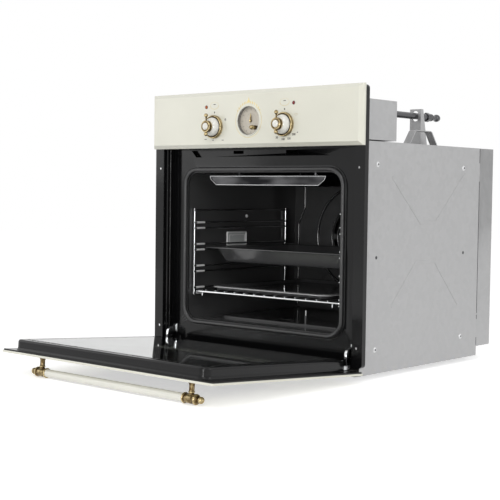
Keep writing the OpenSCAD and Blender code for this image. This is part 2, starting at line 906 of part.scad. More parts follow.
module thermostat_knob() {
    color(porcelain) translate([knob_x, 0, 0]) difference() {
        turned_forward([0, knob_back, knob_z]) knob_outline(0);
        peg([0, plunger_nose - part_gap, knob_z], stem_r + run_gap, knob_back + 1 - plunger_nose + part_gap);
    }
}

module thermostat_knob_ring() {
    color(bronze) translate([knob_x, 0, 0]) ring_arms();
}

plunger_back = 14;

module thermostat_plunger() {
    color(brass_colour) peg([knob_x, plunger_nose, knob_z], stem_r, plunger_back - plunger_nose);
}

module function_switch() {
    half = 22;
    color(plastic) difference() {
        block([-knob_x - half, frame_rear, knob_z - half], [-knob_x + half, 34, knob_z + half]);
        peg([-knob_x, frame_rear - 1, knob_z], stem_r + run_gap, 18);
    }
}

module thermostat_valve() {
    half = 20;
    body_front = 8;
    body_back = 60;
    bore_end = plunger_back + push_travel + 2;
    color([0.70, 0.68, 0.62]) difference() {
        union() {
            block([knob_x - half, body_front, knob_z - 21.5], [knob_x + half, body_back, knob_z + 21.5]);
            peg([knob_x, frame_rear, knob_z], 13, body_front - frame_rear);
        }
        peg([knob_x, frame_rear - 1, knob_z], stem_r + run_gap, bore_end + 1 - frame_rear);
    }
}

module terminal_block() {
    color(plastic) block([cable_x - 25, control_d - 35, control_low + sheet],
        [cable_x + 25, control_d - 12, control_low + 30]);
}

// Clock

module clock_bezel() {
    back = fascia_front + 12;
    rim_h = 1.8;
    tube_out = clock_r + clock_tube;
    color(ivory) turned_forward([0, back, clock_z]) polygon([
        [clock_r, 0], [tube_out, 0], [tube_out, back - fascia_front], [clock_r + 3.3, back - fascia_front],
        [clock_r + 3.3, back - fascia_front + 0.8], [clock_r + 2, back - fascia_front + rim_h],
        [clock_r, back - fascia_front + rim_h]]);
}

module clock_dial() {
    color([0.80, 0.77, 0.70]) difference() {
        peg([0, dial_y, clock_z], clock_r, dial_t);
        peg([0, dial_y - 1, clock_z], hour_r + 0.5, dial_t + 2);
        peg([set_x, dial_y - 1, set_z], set_r + 0.5, dial_t + 2);
    }
}

module clock_movement() {
    front = dial_y + dial_t;
    back = 10;
    hour_end = front + 6;
    minute_end = front + 14;
    color(plastic) difference() {
        peg([0, front, clock_z], clock_r - 0.8, back - front);
        peg([0, front - 1, clock_z], hour_r + run_gap, 7.3);
        peg([0, hour_end, clock_z], minute_r + run_gap, minute_end - hour_end);
        peg([set_x, front - 1, set_z], set_r + run_gap, 12);
    }
}

// A pointed clock hand with a round boss and a short tail
module hand_outline(reach, w, boss) {
    circle(boss);
    polygon([[-w / 2, 0], [-w, reach * 0.62], [0, reach], [w, reach * 0.62], [w / 2, 0]]);
    polygon([[-w / 2, 0], [-w / 2, -reach * 0.3], [w / 2, -reach * 0.3], [w / 2, 0]]);
}

hand_t = 0.8;
hour_y = dial_y - 2.2;
minute_y = dial_y - 3.8;

module hour_hand() {
    color(bronze) difference() {
        union() {
            across_y(hour_y, hour_y + hand_t) translate([0, clock_z]) rotate(-8) hand_outline(12, 1.6, 3);
            peg([0, hour_y, clock_z], hour_r, 8.8);
        }
        peg([0, hour_y - 1, clock_z], minute_r + run_gap, 12);
    }
}

module minute_hand() {
    color(bronze) {
        across_y(minute_y, minute_y + hand_t) translate([0, clock_z]) rotate(-8) hand_outline(17, 1.3, 2.4);
        peg([0, minute_y, clock_z], minute_r, 18);
    }
}

module setting_knob() {
    gap = 1.2;
    nose = 26;
    color(bronze) turned_forward([set_x, dial_y, set_z]) polygon([
        [0, -10], [set_r, -10], [set_r, gap], [4, gap], [4, 5], [4.6, 5.6], [4.6, 14], [3.8, 15],
        [4.8, 17], [5, 20], [4.2, 24], [2.4, nose - 0.6], [0, nose]]);
}

module pilot_lamp() {
    color_h = 1.6;
    turned_forward([0, fascia_front + 10, lamp_z]) polygon([
        [0, 0], [lamp_r - 0.8, 0], [lamp_r - 0.8, 10], [lamp_r, 10], [lamp_r, 10.6],
        [lamp_r - 1.2, 10 + color_h - 0.2], [0, 10 + color_h]]);
}

module left_pilot_lamp() {
    color([0.85, 0.35, 0.10]) translate([-lamp_x, 0, 0]) pilot_lamp();
}

module right_pilot_lamp() {
    color([0.65, 0.08, 0.08]) translate([lamp_x, 0, 0]) pilot_lamp();
}

// Gas connection

module gas_pipe() {
    pipe_front = 35;
    color(bright_steel) bent_rod([
        [pipe_x, pipe_end, pipe_z], [pipe_x, pipe_front, pipe_z], [pipe_x, pipe_front, knob_z + 8],
        [knob_x + 20, pipe_front, knob_z + 8]], pipe_d);
}

tail_len = 59;
tail_end = 10;

module hose_tail() {
    r = tail_d / 2;
    color(brass_colour) turned_back([pipe_x, pipe_end, pipe_z]) polygon([
        [0, 0], [9.5, 0], [11, 1.5], [11, 8], [9, 11], [7, 13], [7, 34], [8, 37], [8.75, 40], [8.75, 44],
        [8, 46.5], [r, tail_len - tail_end], [r, tail_len], [0, tail_len]]);
}

bracket_y = pipe_end - 42;

module pipe_bracket() {
    t = 1.5;
    half = 15;
    high = pipe_z + 16;
    slot_h = 24;
    foot = 30;
    slot_w = pipe_d + 0.4;
    color(galvanised) {
        across_y(bracket_y, bracket_y + t) difference() {
            area([pipe_x - half, casing_h], [pipe_x + half, high]);
            for (z = [-1, 1]) translate([pipe_x, pipe_z + z * (slot_h - slot_w) / 2]) circle(d = slot_w);
            translate([pipe_x, pipe_z]) square([slot_w, slot_h - slot_w], center = true);
        }
        across_x(pipe_x + half - t, pipe_x + half) polygon([
            [bracket_y, casing_h], [bracket_y + foot, casing_h], [bracket_y + 10, high], [bracket_y, high]]);
        block([pipe_x - half, bracket_y, casing_h], [pipe_x + half, bracket_y + foot, casing_h + t]);
    }
}

module strap_bracket() {
    t = 2;
    h = 38;
    foot = 6;
    lean = 28;
    span = 130;
    strap_x = pipe_x + 28;
    strap_w = 18;
    color(galvanised) across_x(strap_x, strap_x + strap_w) translate([casing_d - 175, casing_h]) polygon([
        [0, 0], [foot, 0], [foot + lean, h - t], [span - foot - lean, h - t], [span - foot, 0],
        [span, 0], [span, t], [span - foot + 1.4, t], [span - foot - lean + 1.4, h],
        [foot + lean - 1.4, h], [foot - 1.4, t], [0, t]]);
}

module screw() {
    cylinder(r = screw_r, h = screw_len);
    translate([0, 0, screw_len]) cylinder(r = screw_head_r, h = screw_head_h);
}

module panel_screws() {
    color(bright_steel) both_sides() for (p = side_screws)
        translate([half_casing - screw_len, p[0], p[1]]) rotate([0, 90, 0]) screw();
}

// Hinge arms on the casing

module hinge_arms() {
    foot_t = 1.5;
    color(bright_steel) both_sides() {
        across_x(arm_x - arm_t / 2, arm_x + arm_t / 2) {
            translate([hinge_y, hinge_z]) circle(boss_r);
            polygon([[hinge_y - boss_r, hinge_z], [hinge_y - boss_r, 40], [-11, 50], [-5, 55], [13.5, 60.5],
                [40, 60.5], [40, 47], [12, 45], [2, 38],
                [hinge_y + boss_r, 30], [hinge_y + boss_r, hinge_z]]);
        }
        block([arm_x - 9, plate_rear, 30], [arm_x + 9, plate_rear + foot_t, 80]);
        translate([cheek_in - 0.4, hinge_y, hinge_z]) rotate([0, 90, 0])
            cylinder(r = pin_r, h = cheek_out - cheek_in + 0.8);
    }
}

// Door, drawn closed in its own depth (Y from the outer face) and height (Z from its lower edge)
module door_pose() {
    translate([0, hinge_y, hinge_z]) rotate([door_open, 0, 0]) translate([0, -hinge_t, -hinge_s]) children();
}

window_w = front_w - 226;
window_low = 128;
window_high = door_h - 113;

module door_panel() {
    color(ivory) door_pose() across_y(0, panel_t) difference() {
        translate([0, door_h / 2]) rounded(front_w, door_h, 4);
        translate([0, (window_low + window_high) / 2]) rounded(window_w, window_high - window_low, 25);
    }
}

module door_window() {
    overlap = 15;
    color(dark_glass) door_pose() across_y(panel_t, panel_t + 4)
        translate([0, (window_low + window_high) / 2])
        rounded(window_w + 2 * overlap, window_high - window_low + 2 * overlap, 20);
}

module door_liner() {
    seat = door_t - 4;
    ledge = 16;
    glass_r = 6;
    open_w = glass_w + 2 * glass_gap;
    open_h = glass_h + 2 * glass_gap;
    flange_t = 3;
    flange_in = 2;
    color(black_enamel) door_pose() difference() {
        union() {
            across_y(panel_t, panel_t + flange_t) difference() {
                translate([0, door_h / 2]) rounded(front_w - 2 * flange_in, door_h - 2 * flange_in, 3);
                translate([0, liner_mid]) rounded(liner_w - 1, liner_h - 1, liner_r - 0.5);
            }
            translate([0, 0, liner_mid]) {
                across_y(panel_t, door_t) difference() {
                    rounded(liner_w, liner_h, liner_r);
                    rounded(liner_w - 2 * liner_t, liner_h - 2 * liner_t, liner_r - liner_t);
                }
                across_y(door_t - liner_t, door_t) difference() {
                    rounded(liner_w - 1, liner_h - 1, liner_r - 0.5);
                    rounded(open_w, open_h, glass_r);
                }
                across_y(seat - liner_t, door_t - liner_t / 2) difference() {
                    rounded(open_w + 2 * liner_t, open_h + 2 * liner_t, glass_r + liner_t);
                    rounded(open_w, open_h, glass_r);
                }
                across_y(seat - liner_t, seat) difference() {
                    rounded(open_w + liner_t, open_h + liner_t, glass_r + liner_t / 2);
                    rounded(open_w - 2 * ledge, open_h - 2 * ledge, glass_r);
                }
            }
        }
        both_sides() block([pocket_in, panel_t - 1, 0], [pocket_out, door_t + 1, pocket_high]);
    }
}

module door_inner_glass() {
    color(dark_glass) door_pose() across_y(door_t - 4, door_t - 4 + glass_t)
        translate([0, liner_mid]) rounded(glass_w, glass_h, 5);
}

module hinge_bodies() {
    body_low = 52;
    body_high = 120;
    body_t = door_t - 8;
    eye_r = 5.5;
    color(bright_steel) door_pose() both_sides() {
        for (x = [cheek_in, cheek_out - cheek_t]) across_x(x, x + cheek_t) difference() {
            union() {
                area([panel_t, body_low], [body_t, body_high]);
                polygon([[hinge_t - eye_r, hinge_s], [hinge_t + eye_r, hinge_s], [body_t, body_low],
                    [panel_t + 0.8, body_low]]);
                translate([hinge_t, hinge_s]) circle(eye_r);
            }
            translate([hinge_t, hinge_s]) circle(pin_r + run_gap);
        }
        block([cheek_in, panel_t, body_low], [cheek_out, panel_t + cheek_t, body_high]);
    }
}

module handle_bar() {
    color(ivory) door_pose() translate([-handle_half, -handle_out, handle_s]) rotate([0, 90, 0])
        cylinder(d = handle_d, h = 2 * handle_half);
}

module handle_ends() {
    r = handle_d / 2;
    color(bronze) door_pose() both_sides() {
        turned_right([handle_half, -handle_out, handle_s]) polygon([
            [0, 0], [r + 1.6, 0], [r + 2.2, 1.5], [r + 1.6, 3], [r + 0.4, 4], [r + 0.8, 17], [r + 0.6, 26],
            [r + 2, 28], [r + 2, 31], [r - 2, 34], [5, 36],
            [6.4, 39], [6.6, 42], [5, 46], [2.5, 47.8], [0, 48]]);
        translate([handle_x, 0, handle_s]) rotate([90, 0, 0]) rotate_extrude() polygon([
            [0, 0], [9.5, 0], [9.5, 4], [7, 6.5], [5.2, 9], [5.2, handle_out], [0, handle_out]]);
    }
}

// Trays and shelf

module deep_tray() {
    mid_y = (tray_front + tray_rear) / 2;
    body_mid = (tray_body_front + tray_body_rear) / 2;
    body_d = tray_body_rear - tray_body_front;
    rim_d = tray_rear - tray_front;
    top = tray_rim_z + tray_t;
    corner = 22;
    color(black_enamel) {
        across_z(tray_rim_z, top) difference() {
            translate([0, mid_y]) rounded(tray_w, rim_d, 14);
            translate([0, body_mid]) rounded(tray_body_w - 2 * tray_t, body_d - 2 * tray_t, corner - tray_t);
        }
        across_z(tray_rim_z, tray_rim_z + tray_lip) translate([0, mid_y]) difference() {
            rounded(tray_w, rim_d, 14);
            rounded(tray_w - 2 * tray_t, rim_d - 2 * tray_t, 14 - tray_t);
        }
        across_z(top - tray_depth - tray_t, top) translate([0, body_mid]) difference() {
            rounded(tray_body_w, body_d, corner);
            rounded(tray_body_w - 2 * tray_t, body_d - 2 * tray_t, corner - tray_t);
        }
        across_z(top - tray_depth - tray_t, top - tray_depth) translate([0, body_mid])
            rounded(tray_body_w - 1, body_d - 1, corner - 0.5);
    }
}

// One bent corner of the shelf's frame, from its side rod to its front rod
module frame_bend(bend) {
    rotate_extrude(angle = 90) translate([bend, 0]) circle(d = frame_wire);
}

module wire_shelf() {
    x = shelf_w / 2 - frame_wire / 2;
    bend = 8;
    pitch = wire_span / (shelf_wires - 1);
    stop_x = rung_x - 22.6;
    stop_h = 10;
    rest_y = (shelf_front + shelf_rear) / 2 - 2.5;
    lift = 0.4;
    color(bright_steel) {
        for (y = [shelf_front, shelf_rear])
            across_x(-x + bend, x - bend) translate([y, shelf_z]) circle(d = frame_wire);
        for (side = [-1, 1])
            across_y(shelf_front + bend, shelf_rear - bend)
                translate([side * x, shelf_z]) circle(d = frame_wire);
        both_sides() {
            translate([x - bend, shelf_front + bend, shelf_z]) rotate(-90) frame_bend(bend);
            translate([x - bend, shelf_rear - bend, shelf_z]) frame_bend(bend);
        }
        for (i = [0 : shelf_wires - 1])
            across_y(shelf_front - 2, shelf_rear + 2)
                translate([-wire_span / 2 + i * pitch, cross_z]) circle(d = cross_wire);
        for (side = [-1, 1])
            rod([side * stop_x, shelf_front, shelf_z], [side * stop_x, shelf_front, shelf_z - stop_h],
                cross_wire);
        across_x(-x, x) translate([rest_y, shelf_z + lift]) circle(d = cross_wire + 1);
    }
}

module flat_tray() {
    mid_y = (flat_front + flat_rear) / 2;
    rim_d = flat_rear - flat_front;
    body_w = flat_w - 2 * flat_rim;
    body_d = rim_d - 2 * flat_rim;
    corner = 16;
    high = flat_low + flat_h;
    color(black_enamel) translate([0, mid_y, 0]) {
        across_z(high - tray_t, high) difference() {
            rounded(flat_w, rim_d, corner + flat_rim);
            rounded(body_w - 2 * tray_t, body_d - 2 * tray_t, corner - tray_t);
        }
        across_z(flat_low, high) difference() {
            rounded(body_w, body_d, corner);
            rounded(body_w - 2 * tray_t, body_d - 2 * tray_t, corner - tray_t);
        }
        across_z(flat_low, flat_low + tray_t) rounded(body_w - 1, body_d - 1, corner - 0.5);
    }
}

left_side_panel();
right_side_panel();
top_panel();
bottom_panel();
rear_panel();
rear_box();
control_box();
mounting_frame();
front_plate();
door_gasket();
cavity();
insulation();
fascia();
knob_bezels();
function_switch();
thermostat_valve();
clock_movement();
clock_bezel();
clock_dial();
left_pilot_lamp();
right_pilot_lamp();
gas_pipe();
hose_tail();
pipe_bracket();
strap_bracket();
oven_burner();
burner_pipe();
grill_reflector();
grill_burner();
fan_baffle();
fan_motor();
lamp_window();
oven_lamp();
left_rack();
right_rack();
sole_plate();
sensing_bulb();
igniter();
terminal_block();
hinge_arms();
panel_screws();
door_panel();
door_window();
door_liner();
door_inner_glass();
hinge_bodies();
handle_bar();
handle_ends();
fan_wheel();
deep_tray();
wire_shelf();
flat_tray();
function_knob();
function_knob_ring();
thermostat_plunger();
thermostat_knob();
thermostat_knob_ring();
setting_knob();
hour_hand();
minute_hand();
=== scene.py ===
"""Looks of a built-in gas oven: meshes, finishes, floor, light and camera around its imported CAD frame."""

import logging
import math
from collections.abc import Callable, Iterable, Mapping, Sequence
from dataclasses import dataclass, field
from enum import Enum

import bmesh
import bpy
from mathutils import Matrix, Vector


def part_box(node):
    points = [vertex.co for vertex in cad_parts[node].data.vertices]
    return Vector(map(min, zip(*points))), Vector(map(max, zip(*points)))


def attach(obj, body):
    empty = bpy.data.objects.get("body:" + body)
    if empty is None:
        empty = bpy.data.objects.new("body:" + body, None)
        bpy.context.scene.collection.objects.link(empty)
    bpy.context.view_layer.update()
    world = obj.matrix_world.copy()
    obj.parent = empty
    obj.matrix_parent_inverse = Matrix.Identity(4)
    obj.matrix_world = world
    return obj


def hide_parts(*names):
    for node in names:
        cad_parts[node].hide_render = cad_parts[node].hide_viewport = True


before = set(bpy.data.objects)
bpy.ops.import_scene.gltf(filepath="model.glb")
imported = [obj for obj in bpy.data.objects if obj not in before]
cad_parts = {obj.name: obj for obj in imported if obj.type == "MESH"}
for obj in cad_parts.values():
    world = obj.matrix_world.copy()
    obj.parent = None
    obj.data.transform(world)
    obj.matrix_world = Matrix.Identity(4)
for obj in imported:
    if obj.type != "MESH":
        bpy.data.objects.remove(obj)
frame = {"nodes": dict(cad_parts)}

LOG = logging.getLogger("oven")
MM = 0.001  # in metres
MERGED = 0.002  # CAD points closer than this become one, in millimetres
WELD = 0.0005  # the same for the seam of a turned shape
CUT = 0.001  # points this near to a cutting plane lie on it
FLAT = math.radians(0.6)  # CAD faces that differ by less are joined
COAT_ROUGHNESS = 0.05
FAR = 60.0  # end of the camera's range, in metres
Pair = tuple[float, float]
Point = tuple[float, float, float]
Row = tuple[float, float, float, float]
Colour = tuple[float, float, float]
Piece = bpy.types.Object


# Shader maths


def operator(operation: str, swapped: bool = False) -> "Callable[[Value, Value | float], Value]":
    """A Python operator that adds a Math node.

    Args:
        operation: the node's operation
        swapped: whether it is the reflected form, with the other value first

    Returns:
        The operator's method.
    """

    def apply(self: "Value", other: "Value | float") -> "Value":
        """The node's result."""
        return self.net.maths(operation, *((other, self) if swapped else (self, other)))

    return apply


class Value:
    """A shader socket that can stand in a Python sum."""

    __add__ = __radd__ = operator("ADD")
    __sub__, __rsub__ = operator("SUBTRACT"), operator("SUBTRACT", swapped=True)
    __mul__ = __rmul__ = operator("MULTIPLY")
    __truediv__, __rtruediv__ = operator("DIVIDE"), operator("DIVIDE", swapped=True)
    __gt__ = operator("GREATER_THAN")
    __lt__ = operator("LESS_THAN")

    def __init__(self, net: "Net", socket: bpy.types.NodeSocket | None) -> None:
        """Keeps the socket and the net that it belongs to."""
        self.net = net
        self.socket = socket

    def power(self, exponent: float) -> "Value":
        """This value to a power."""
        return self.net.maths("POWER", self, exponent)

    def wave(self) -> "Value":
        """Sine of this value."""
        return self.net.maths("SINE", self)

    def size(self) -> "Value":
        """This value without its sign."""
        return self.net.maths("ABSOLUTE", self)

    def off_whole(self) -> "Value":
        """Distance of this value from the nearest whole number."""
        return (self.net.maths("FRACT", self + 0.5) - 0.5).size()

    def at_most_one(self) -> "Value":
        """This value, but 1 where it is greater."""
        return self.net.maths("MINIMUM", self, 1.0)

    def beside(self, output: str | int) -> "Value":
        """Another output of this value's node."""
        return Value(self.net, self.socket.node.outputs[output])


class Net:
    """The node tree of one material or world."""

    def __init__(self, owner: bpy.types.Material | bpy.types.World) -> None:
        """Clears the owner's tree and keeps it.

        Args:
            owner: the material or world whose nodes are built
        """
        owner.use_nodes = True
        self.tree = owner.node_tree
        self.tree.nodes.clear()

    def node(self, kind: str, settings: Mapping[str, object] | None = None,
             inputs: Mapping[str | int, object] | None = None, out: str | int | None = 0) -> Value:
        """Adds one node.

        Args:
            kind: the node's type
            settings: its settings
            inputs: values or links of its sockets
            out: the output that is wanted, None for a node without one

        Returns:
            The wanted output.
        """
        node = self.tree.nodes.new(kind)
        for name, setting in (settings or {}).items():
            setattr(node, name, setting)
        for name, given in (inputs or {}).items():
            self.feed(node.inputs[name], given)
        return Value(self, node.outputs[out] if out is not None else None)

    def feed(self, socket: bpy.types.NodeSocket, given: object) -> None:
        """Links a value to a socket, or sets the socket's own number or colour.

        Args:
            socket: the input
            given: a Value, a number or a tuple
        """
        if isinstance(given, Value):
            self.tree.links.new(given.socket, socket)
        elif isinstance(given, tuple) and socket.type == "RGBA" and len(given) == 3:
            socket.default_value = (*given, 1.0)
        else:
            socket.default_value = given

    def maths(self, operation: str, a: "Value | float", b: "Value | float | None" = None) -> Value:
        """A Math node on one or two values."""
        inputs = {0: a} if b is None else {0: a, 1: b}
        return self.node("ShaderNodeMath", {"operation": operation}, inputs)

    def place(self, scale: Point = (1.0, 1.0, 1.0), offset: Point = (0.0, 0.0, 0.0)) -> Value:
        """Object coordinates, scaled along each axis and moved by an offset in metres."""
        here = self.node("ShaderNodeTexCoord", out="Object")
        return self.node("ShaderNodeMapping", None, {"Vector": here, "Location": offset, "Scale": scale})

    def part(self, vector: Value) -> tuple[Value, Value, Value]:
        """The three numbers of a vector."""
        x = self.node("ShaderNodeSeparateXYZ", None, {0: vector})
        return x, x.beside(1), x.beside(2)

    def about(self, centre: Pair) -> tuple[Value, Value, Value]:
        """X and Z from a point of the front, and the distance from it."""
        x, _, z = self.part(self.place(offset=(-centre[0], 0.0, -centre[1])))
        return x, z, (x * x + z * z).power(0.5)

    def noise(self, scale: float, detail: float = 3.0, stretch: Point = (1.0, 1.0, 1.0)) -> Value:
        """A noise from 0 to 1, of so many cells in a metre and with so many octaves."""
        inputs = {"Vector": self.place(stretch), "Scale": scale, "Detail": detail}
        return self.node("ShaderNodeTexNoise", None, inputs)

    def cells(self, scale: float, output: str) -> Value:
        """Voronoi cells, so many in a metre."""
        return self.node("ShaderNodeTexVoronoi", None, {"Vector": self.place(), "Scale": scale}, output)

    def between(self, value: Value, low: float, high: float, to_low: float, to_high: float) -> Value:
        """A value's range from low to high mapped to another range, clamped."""
        return self.node("ShaderNodeMapRange", None, {0: value, 1: low, 2: high, 3: to_low, 4: to_high})

    def mix(self, factor: "Value | float", a: "Value | Colour", b: "Value | Colour") -> Value:
        """A colour between two others."""
        return self.node("ShaderNodeMix", {"data_type": "RGBA"}, {0: factor, 6: a, 7: b}, 2)

    def bump(self, height: Value, depth: float) -> Value:
        """A normal from a height whose full range is depth metres."""
        return self.node("ShaderNodeBump", None, {"Height": height, "Distance": depth, "Strength": 1.0})


@dataclass
class Surface:
    """What varies over a finish: links or plain numbers for the shader."""

    colour: "Value | Colour"
    roughness: "Value | float"
    metallic: float = 0.0
    coat: float = 0.0
    normal: Value | None = None


# Finishes


@dataclass(frozen=True)
class Finish:
    """A procedural finish, with the settings that are the same all over it."""

    name: str
    colour: Colour
    roughness: float
    ior: float = 1.5
    transmission: float = 0.0

    def surface(self, net: Net) -> Surface:
        """What varies over the finish, which each kind of finish states for itself."""
        raise NotImplementedError

    def tone(self, net: Net, share: Value, low: float, high: float = 1.0) -> Value:
        """The finish's colour, made darker or lighter between two factors by a share."""
        return net.mix(share, *(tuple(min(1.0, factor * c) for c in self.colour) for factor in (low, high)))

    def material(self) -> bpy.types.Material:
        """The Blender material of this finish, made once.

        Returns:
            The material.
        """
        name = f"{self.name}_finish"
        made = bpy.data.materials.get(name)
        if made:
            return made
        made = bpy.data.materials.new(name)
        net = Net(made)
        look = self.surface(net)
        inputs: dict[str | int, object] = {
            "Base Color": look.colour, "Roughness": look.roughness, "Metallic": look.metallic,
            "Coat Weight": look.coat, "Coat Roughness": COAT_ROUGHNESS, "IOR": self.ior,
            "Transmission Weight": self.transmission,
        }
        if look.normal is not None:
            inputs["Normal"] = look.normal
        shader = net.node("ShaderNodeBsdfPrincipled", None, inputs)
        net.node("ShaderNodeOutputMaterial", None, {"Surface": shader}, None)
        return made


@dataclass(frozen=True)
class ZincSheet(Finish):
    """Galvanised sheet: matt light grey with soft spangle and rolling lines."""

    spangles: float = 95.0
    rolling: float = 60.0
    share: float = 0.55
    metallic: float = 0.72
    depth: float = 0.00004

    def surface(self, net: Net) -> Surface:
        """Spangle cells over faint rolling lines.

        Args:
            net: the material's nodes

        Returns:
            The surface.
        """
        spangle = net.node("ShaderNodeSeparateColor", None, {0: net.cells(self.spangles, "Color")})
        lines = net.noise(self.rolling, 4.0, (1.0, 1.0, 14.0))
        blend = spangle * self.share + lines * (1.0 - self.share)
        rough = net.between(blend, 0.2, 0.8, self.roughness - 0.05, self.roughness + 0.08)
        return Surface(self.tone(net, blend, 0.9, 1.06), rough, self.metallic, normal=net.bump(lines, self.depth))


@dataclass(frozen=True)
class Enamel(Finish):
    """Vitreous enamel: glossy, with a faint orange peel and fine specks."""

    peel: float = 0.00005
    coat: float = 0.5
    speck: Colour | None = None
    specks: float = 900.0
    speck_size: float = 0.16
    ripples: float = 130.0

    def surface(self, net: Net) -> Surface:
        """Cloud of tone, specks and the ripple of the fired glass.

        Args:
            net: the material's nodes

        Returns:
            The surface.
        """
        tone = self.tone(net, net.noise(9.0, 2.0), 0.93, 1.04)
        if self.speck:
            dots = net.cells(self.specks, "Distance") < self.speck_size
            tone = net.mix(dots * 0.5, tone, self.speck)
        rough = net.between(net.noise(40.0), 0.3, 0.7, self.roughness * 0.8, self.roughness * 1.25)
        return Surface(tone, rough, coat=self.coat, normal=net.bump(net.noise(self.ripples, 2.0), self.peel))


@dataclass(frozen=True)
class Patina(Finish):
    """Burnished antique bronze: bright where it is handled, brown where it isn't, and darker in its hollows,
    partly patina and partly painted shade.
    """

    dark: Colour = (0.09, 0.055, 0.025)
    clouds: float = 150.0
    turning: float = 1400.0
    depth: float = 0.00001

    def surface(self, net: Net) -> Surface:
        """Brown in the hollows as patina and painted shade, worn bright on the ridges, with clouds and fine
        turning lines.

        Args:
            net: the material's nodes

        Returns:
            The surface.
        """
        cloud = net.between(net.noise(self.clouds, 5.0), 0.35, 0.72, 0.0, 1.0)
        point = net.node("ShaderNodeNewGeometry", out="Pointiness")
        # darkening by pointiness: the patina that gathers in hollows, and painted shade there
        hollow = net.between(point, 0.47, 0.55, 1.0, 0.0)
        brown = (cloud * 0.6 + hollow * 0.85).at_most_one()
        rough = net.between(brown, 0.0, 1.0, self.roughness, self.roughness + 0.2)
        normal = net.bump(net.noise(self.turning, 2.0), self.depth)
        return Surface(net.mix(brown, self.colour, self.dark), rough, 1.0, normal=normal)


@dataclass(frozen=True)
class BrightMetal(Finish):
    """Plated, rolled or brushed metal with fine lines along one axis."""

    grain: Point = (1.0, 1.0, 1.0)
    depth: float = 0.000008
    dark: Colour | None = None
    lines: float = 220.0
    reflection_patches: float = 16.0

    def surface(self, net: Net) -> Surface:
        """Lines of slightly uneven gloss, on some with wide dark patches painted in as dark reflections.

        Args:
            net: the material's nodes

        Returns:
            The surface.
        """
        lines = net.noise(self.lines, 4.0, self.grain)
        tone = self.tone(net, lines, 0.88)
        # painted reflection: wide dark patches that stand in for dark reflections
        if self.dark:
            painted_reflection = net.noise(self.reflection_patches, 2.0, (0.45, 0.45, 1.6))
            tone = net.mix(net.between(painted_reflection, 0.45, 0.62, 0.0, 1.0), self.dark, tone)
        rough = net.between(lines, 0.3, 0.7, self.roughness * 0.75, self.roughness * 1.35)
        return Surface(tone, rough, 1.0, normal=net.bump(lines, self.depth))


@dataclass(frozen=True)
class Moulded(Finish):
    """Moulded plastic with a fine spark-eroded grain."""

    grains: float = 900.0
    depth: float = 0.00003

    def surface(self, net: Net) -> Surface:
        """Even grain.

        Args:
            net: the material's nodes

        Returns:
            The surface.
        """
        grain = net.noise(self.grains, 2.0)
        rough = net.between(grain, 0.3, 0.7, self.roughness - 0.05, self.roughness + 0.08)
        return Surface(self.tone(net, grain, 0.88), rough, normal=net.bump(grain, self.depth))


@dataclass(frozen=True)
class Braid(Finish):
    """Braided glass-fibre rope under a black silicone skin."""

    along: float = 1900.0
    across: float = 2600.0
    coat: float = 0.25
    depth: float = 0.00008

    def surface(self, net: Net) -> Surface:
        """Crossing strands.

        Args:
            net: the material's nodes

        Returns:
            The surface.
        """
        x, y, z = net.part(net.place())
        run = (x + z) * self.along
        strands = net.maths("MAXIMUM", (run + y * self.across).wave(), (run - y * self.across).wave())
        tone = self.tone(net, net.between(strands, -1.0, 1.0, 0.0, 1.0), 0.5)
        return Surface(tone, self.roughness, coat=self.coat, normal=net.bump(strands, self.depth))


@dataclass(frozen=True)
class Wool(Finish):
    """Mineral wool blanket."""

    fibres: float = 260.0
    depth: float = 0.0012

    def surface(self, net: Net) -> Surface:
        """Matted fibres."""
        fibre = net.noise(self.fibres, 8.0, (1.0, 1.0, 3.0))
        return Surface(self.tone(net, fibre, 0.55), self.roughness, normal=net.bump(fibre, self.depth))


@dataclass(frozen=True)
class Glass(Finish):
    """Clear or dark glass with a very slight waviness."""

    coat: float = 1.0
    waves: float = 14.0
    depth: float = 0.00003

    def surface(self, net: Net) -> Surface:
        """Rolled waviness."""
        rough = net.between(net.noise(70.0), 0.3, 0.7, self.roughness * 0.7, self.roughness * 1.4)
        return Surface(self.colour, rough, coat=self.coat, normal=net.bump(net.noise(self.waves, 2.0), self.depth))


@dataclass(frozen=True)
class Lens(Finish):
    """Ribbed translucent plastic of a pilot lamp, about the lens axis."""

    centre: Pair = (0.0, 0.0)
    ribs: float = 9000.0
    span: Pair = (0.0008, 0.0042)
    coat: float = 0.15
    depth: float = 0.00004

    def surface(self, net: Net) -> Surface:
        """Rings round the axis, darker towards the rim.

        Args:
            net: the material's nodes

        Returns:
            The surface.
        """
        radius = net.about(self.centre)[2]
        rim = net.between(radius, *self.span, 1.0, 0.0)
        normal = net.bump((radius * self.ribs).wave(), self.depth)
        return Surface(self.tone(net, rim, 0.35), self.roughness, coat=self.coat, normal=normal)


@dataclass(frozen=True)
class DialFace(Finish):
    """Painted clock face: minute ticks, hour bars and two faint rings, with radii in metres."""

    centre: Pair = (0.0, 0.0)
    ink: Colour = (0.10, 0.085, 0.07)
    hour_foot: float = 0.0222
    tick_foot: float = 0.0262
    tick_end: float = 0.0278
    hour_wide: float = 0.045
    tick_wide: float = 0.13
    rings: tuple[Pair, Pair] = ((0.0285, 0.00018), (0.0155, 0.00014))
    coat: float = 0.3

    def surface(self, net: Net) -> Surface:
        """Ticks by angle and radius about the centre.

        Args:
            net: the material's nodes

        Returns:
            The surface.
        """
        x, z, radius = net.about(self.centre)
        turn = net.maths("ARCTAN2", x, z) / math.tau + 1.0
        minutes, hours = (
            ((turn * count).off_whole() < wide) * (radius > foot) * (radius < end)
            for count, wide, foot, end in ((60.0, self.tick_wide, self.tick_foot, self.tick_end),
                                           (12.0, self.hour_wide, self.hour_foot, self.tick_foot)))
        outer, inner = ((radius - at).size() < half for at, half in self.rings)
        marks = (minutes + hours + (outer + inner) * 0.7).at_most_one()
        paper = self.tone(net, net.noise(55.0, 4.0), 0.93)
        return Surface(net.mix(marks * 0.8, paper, self.ink), self.roughness, coat=self.coat)


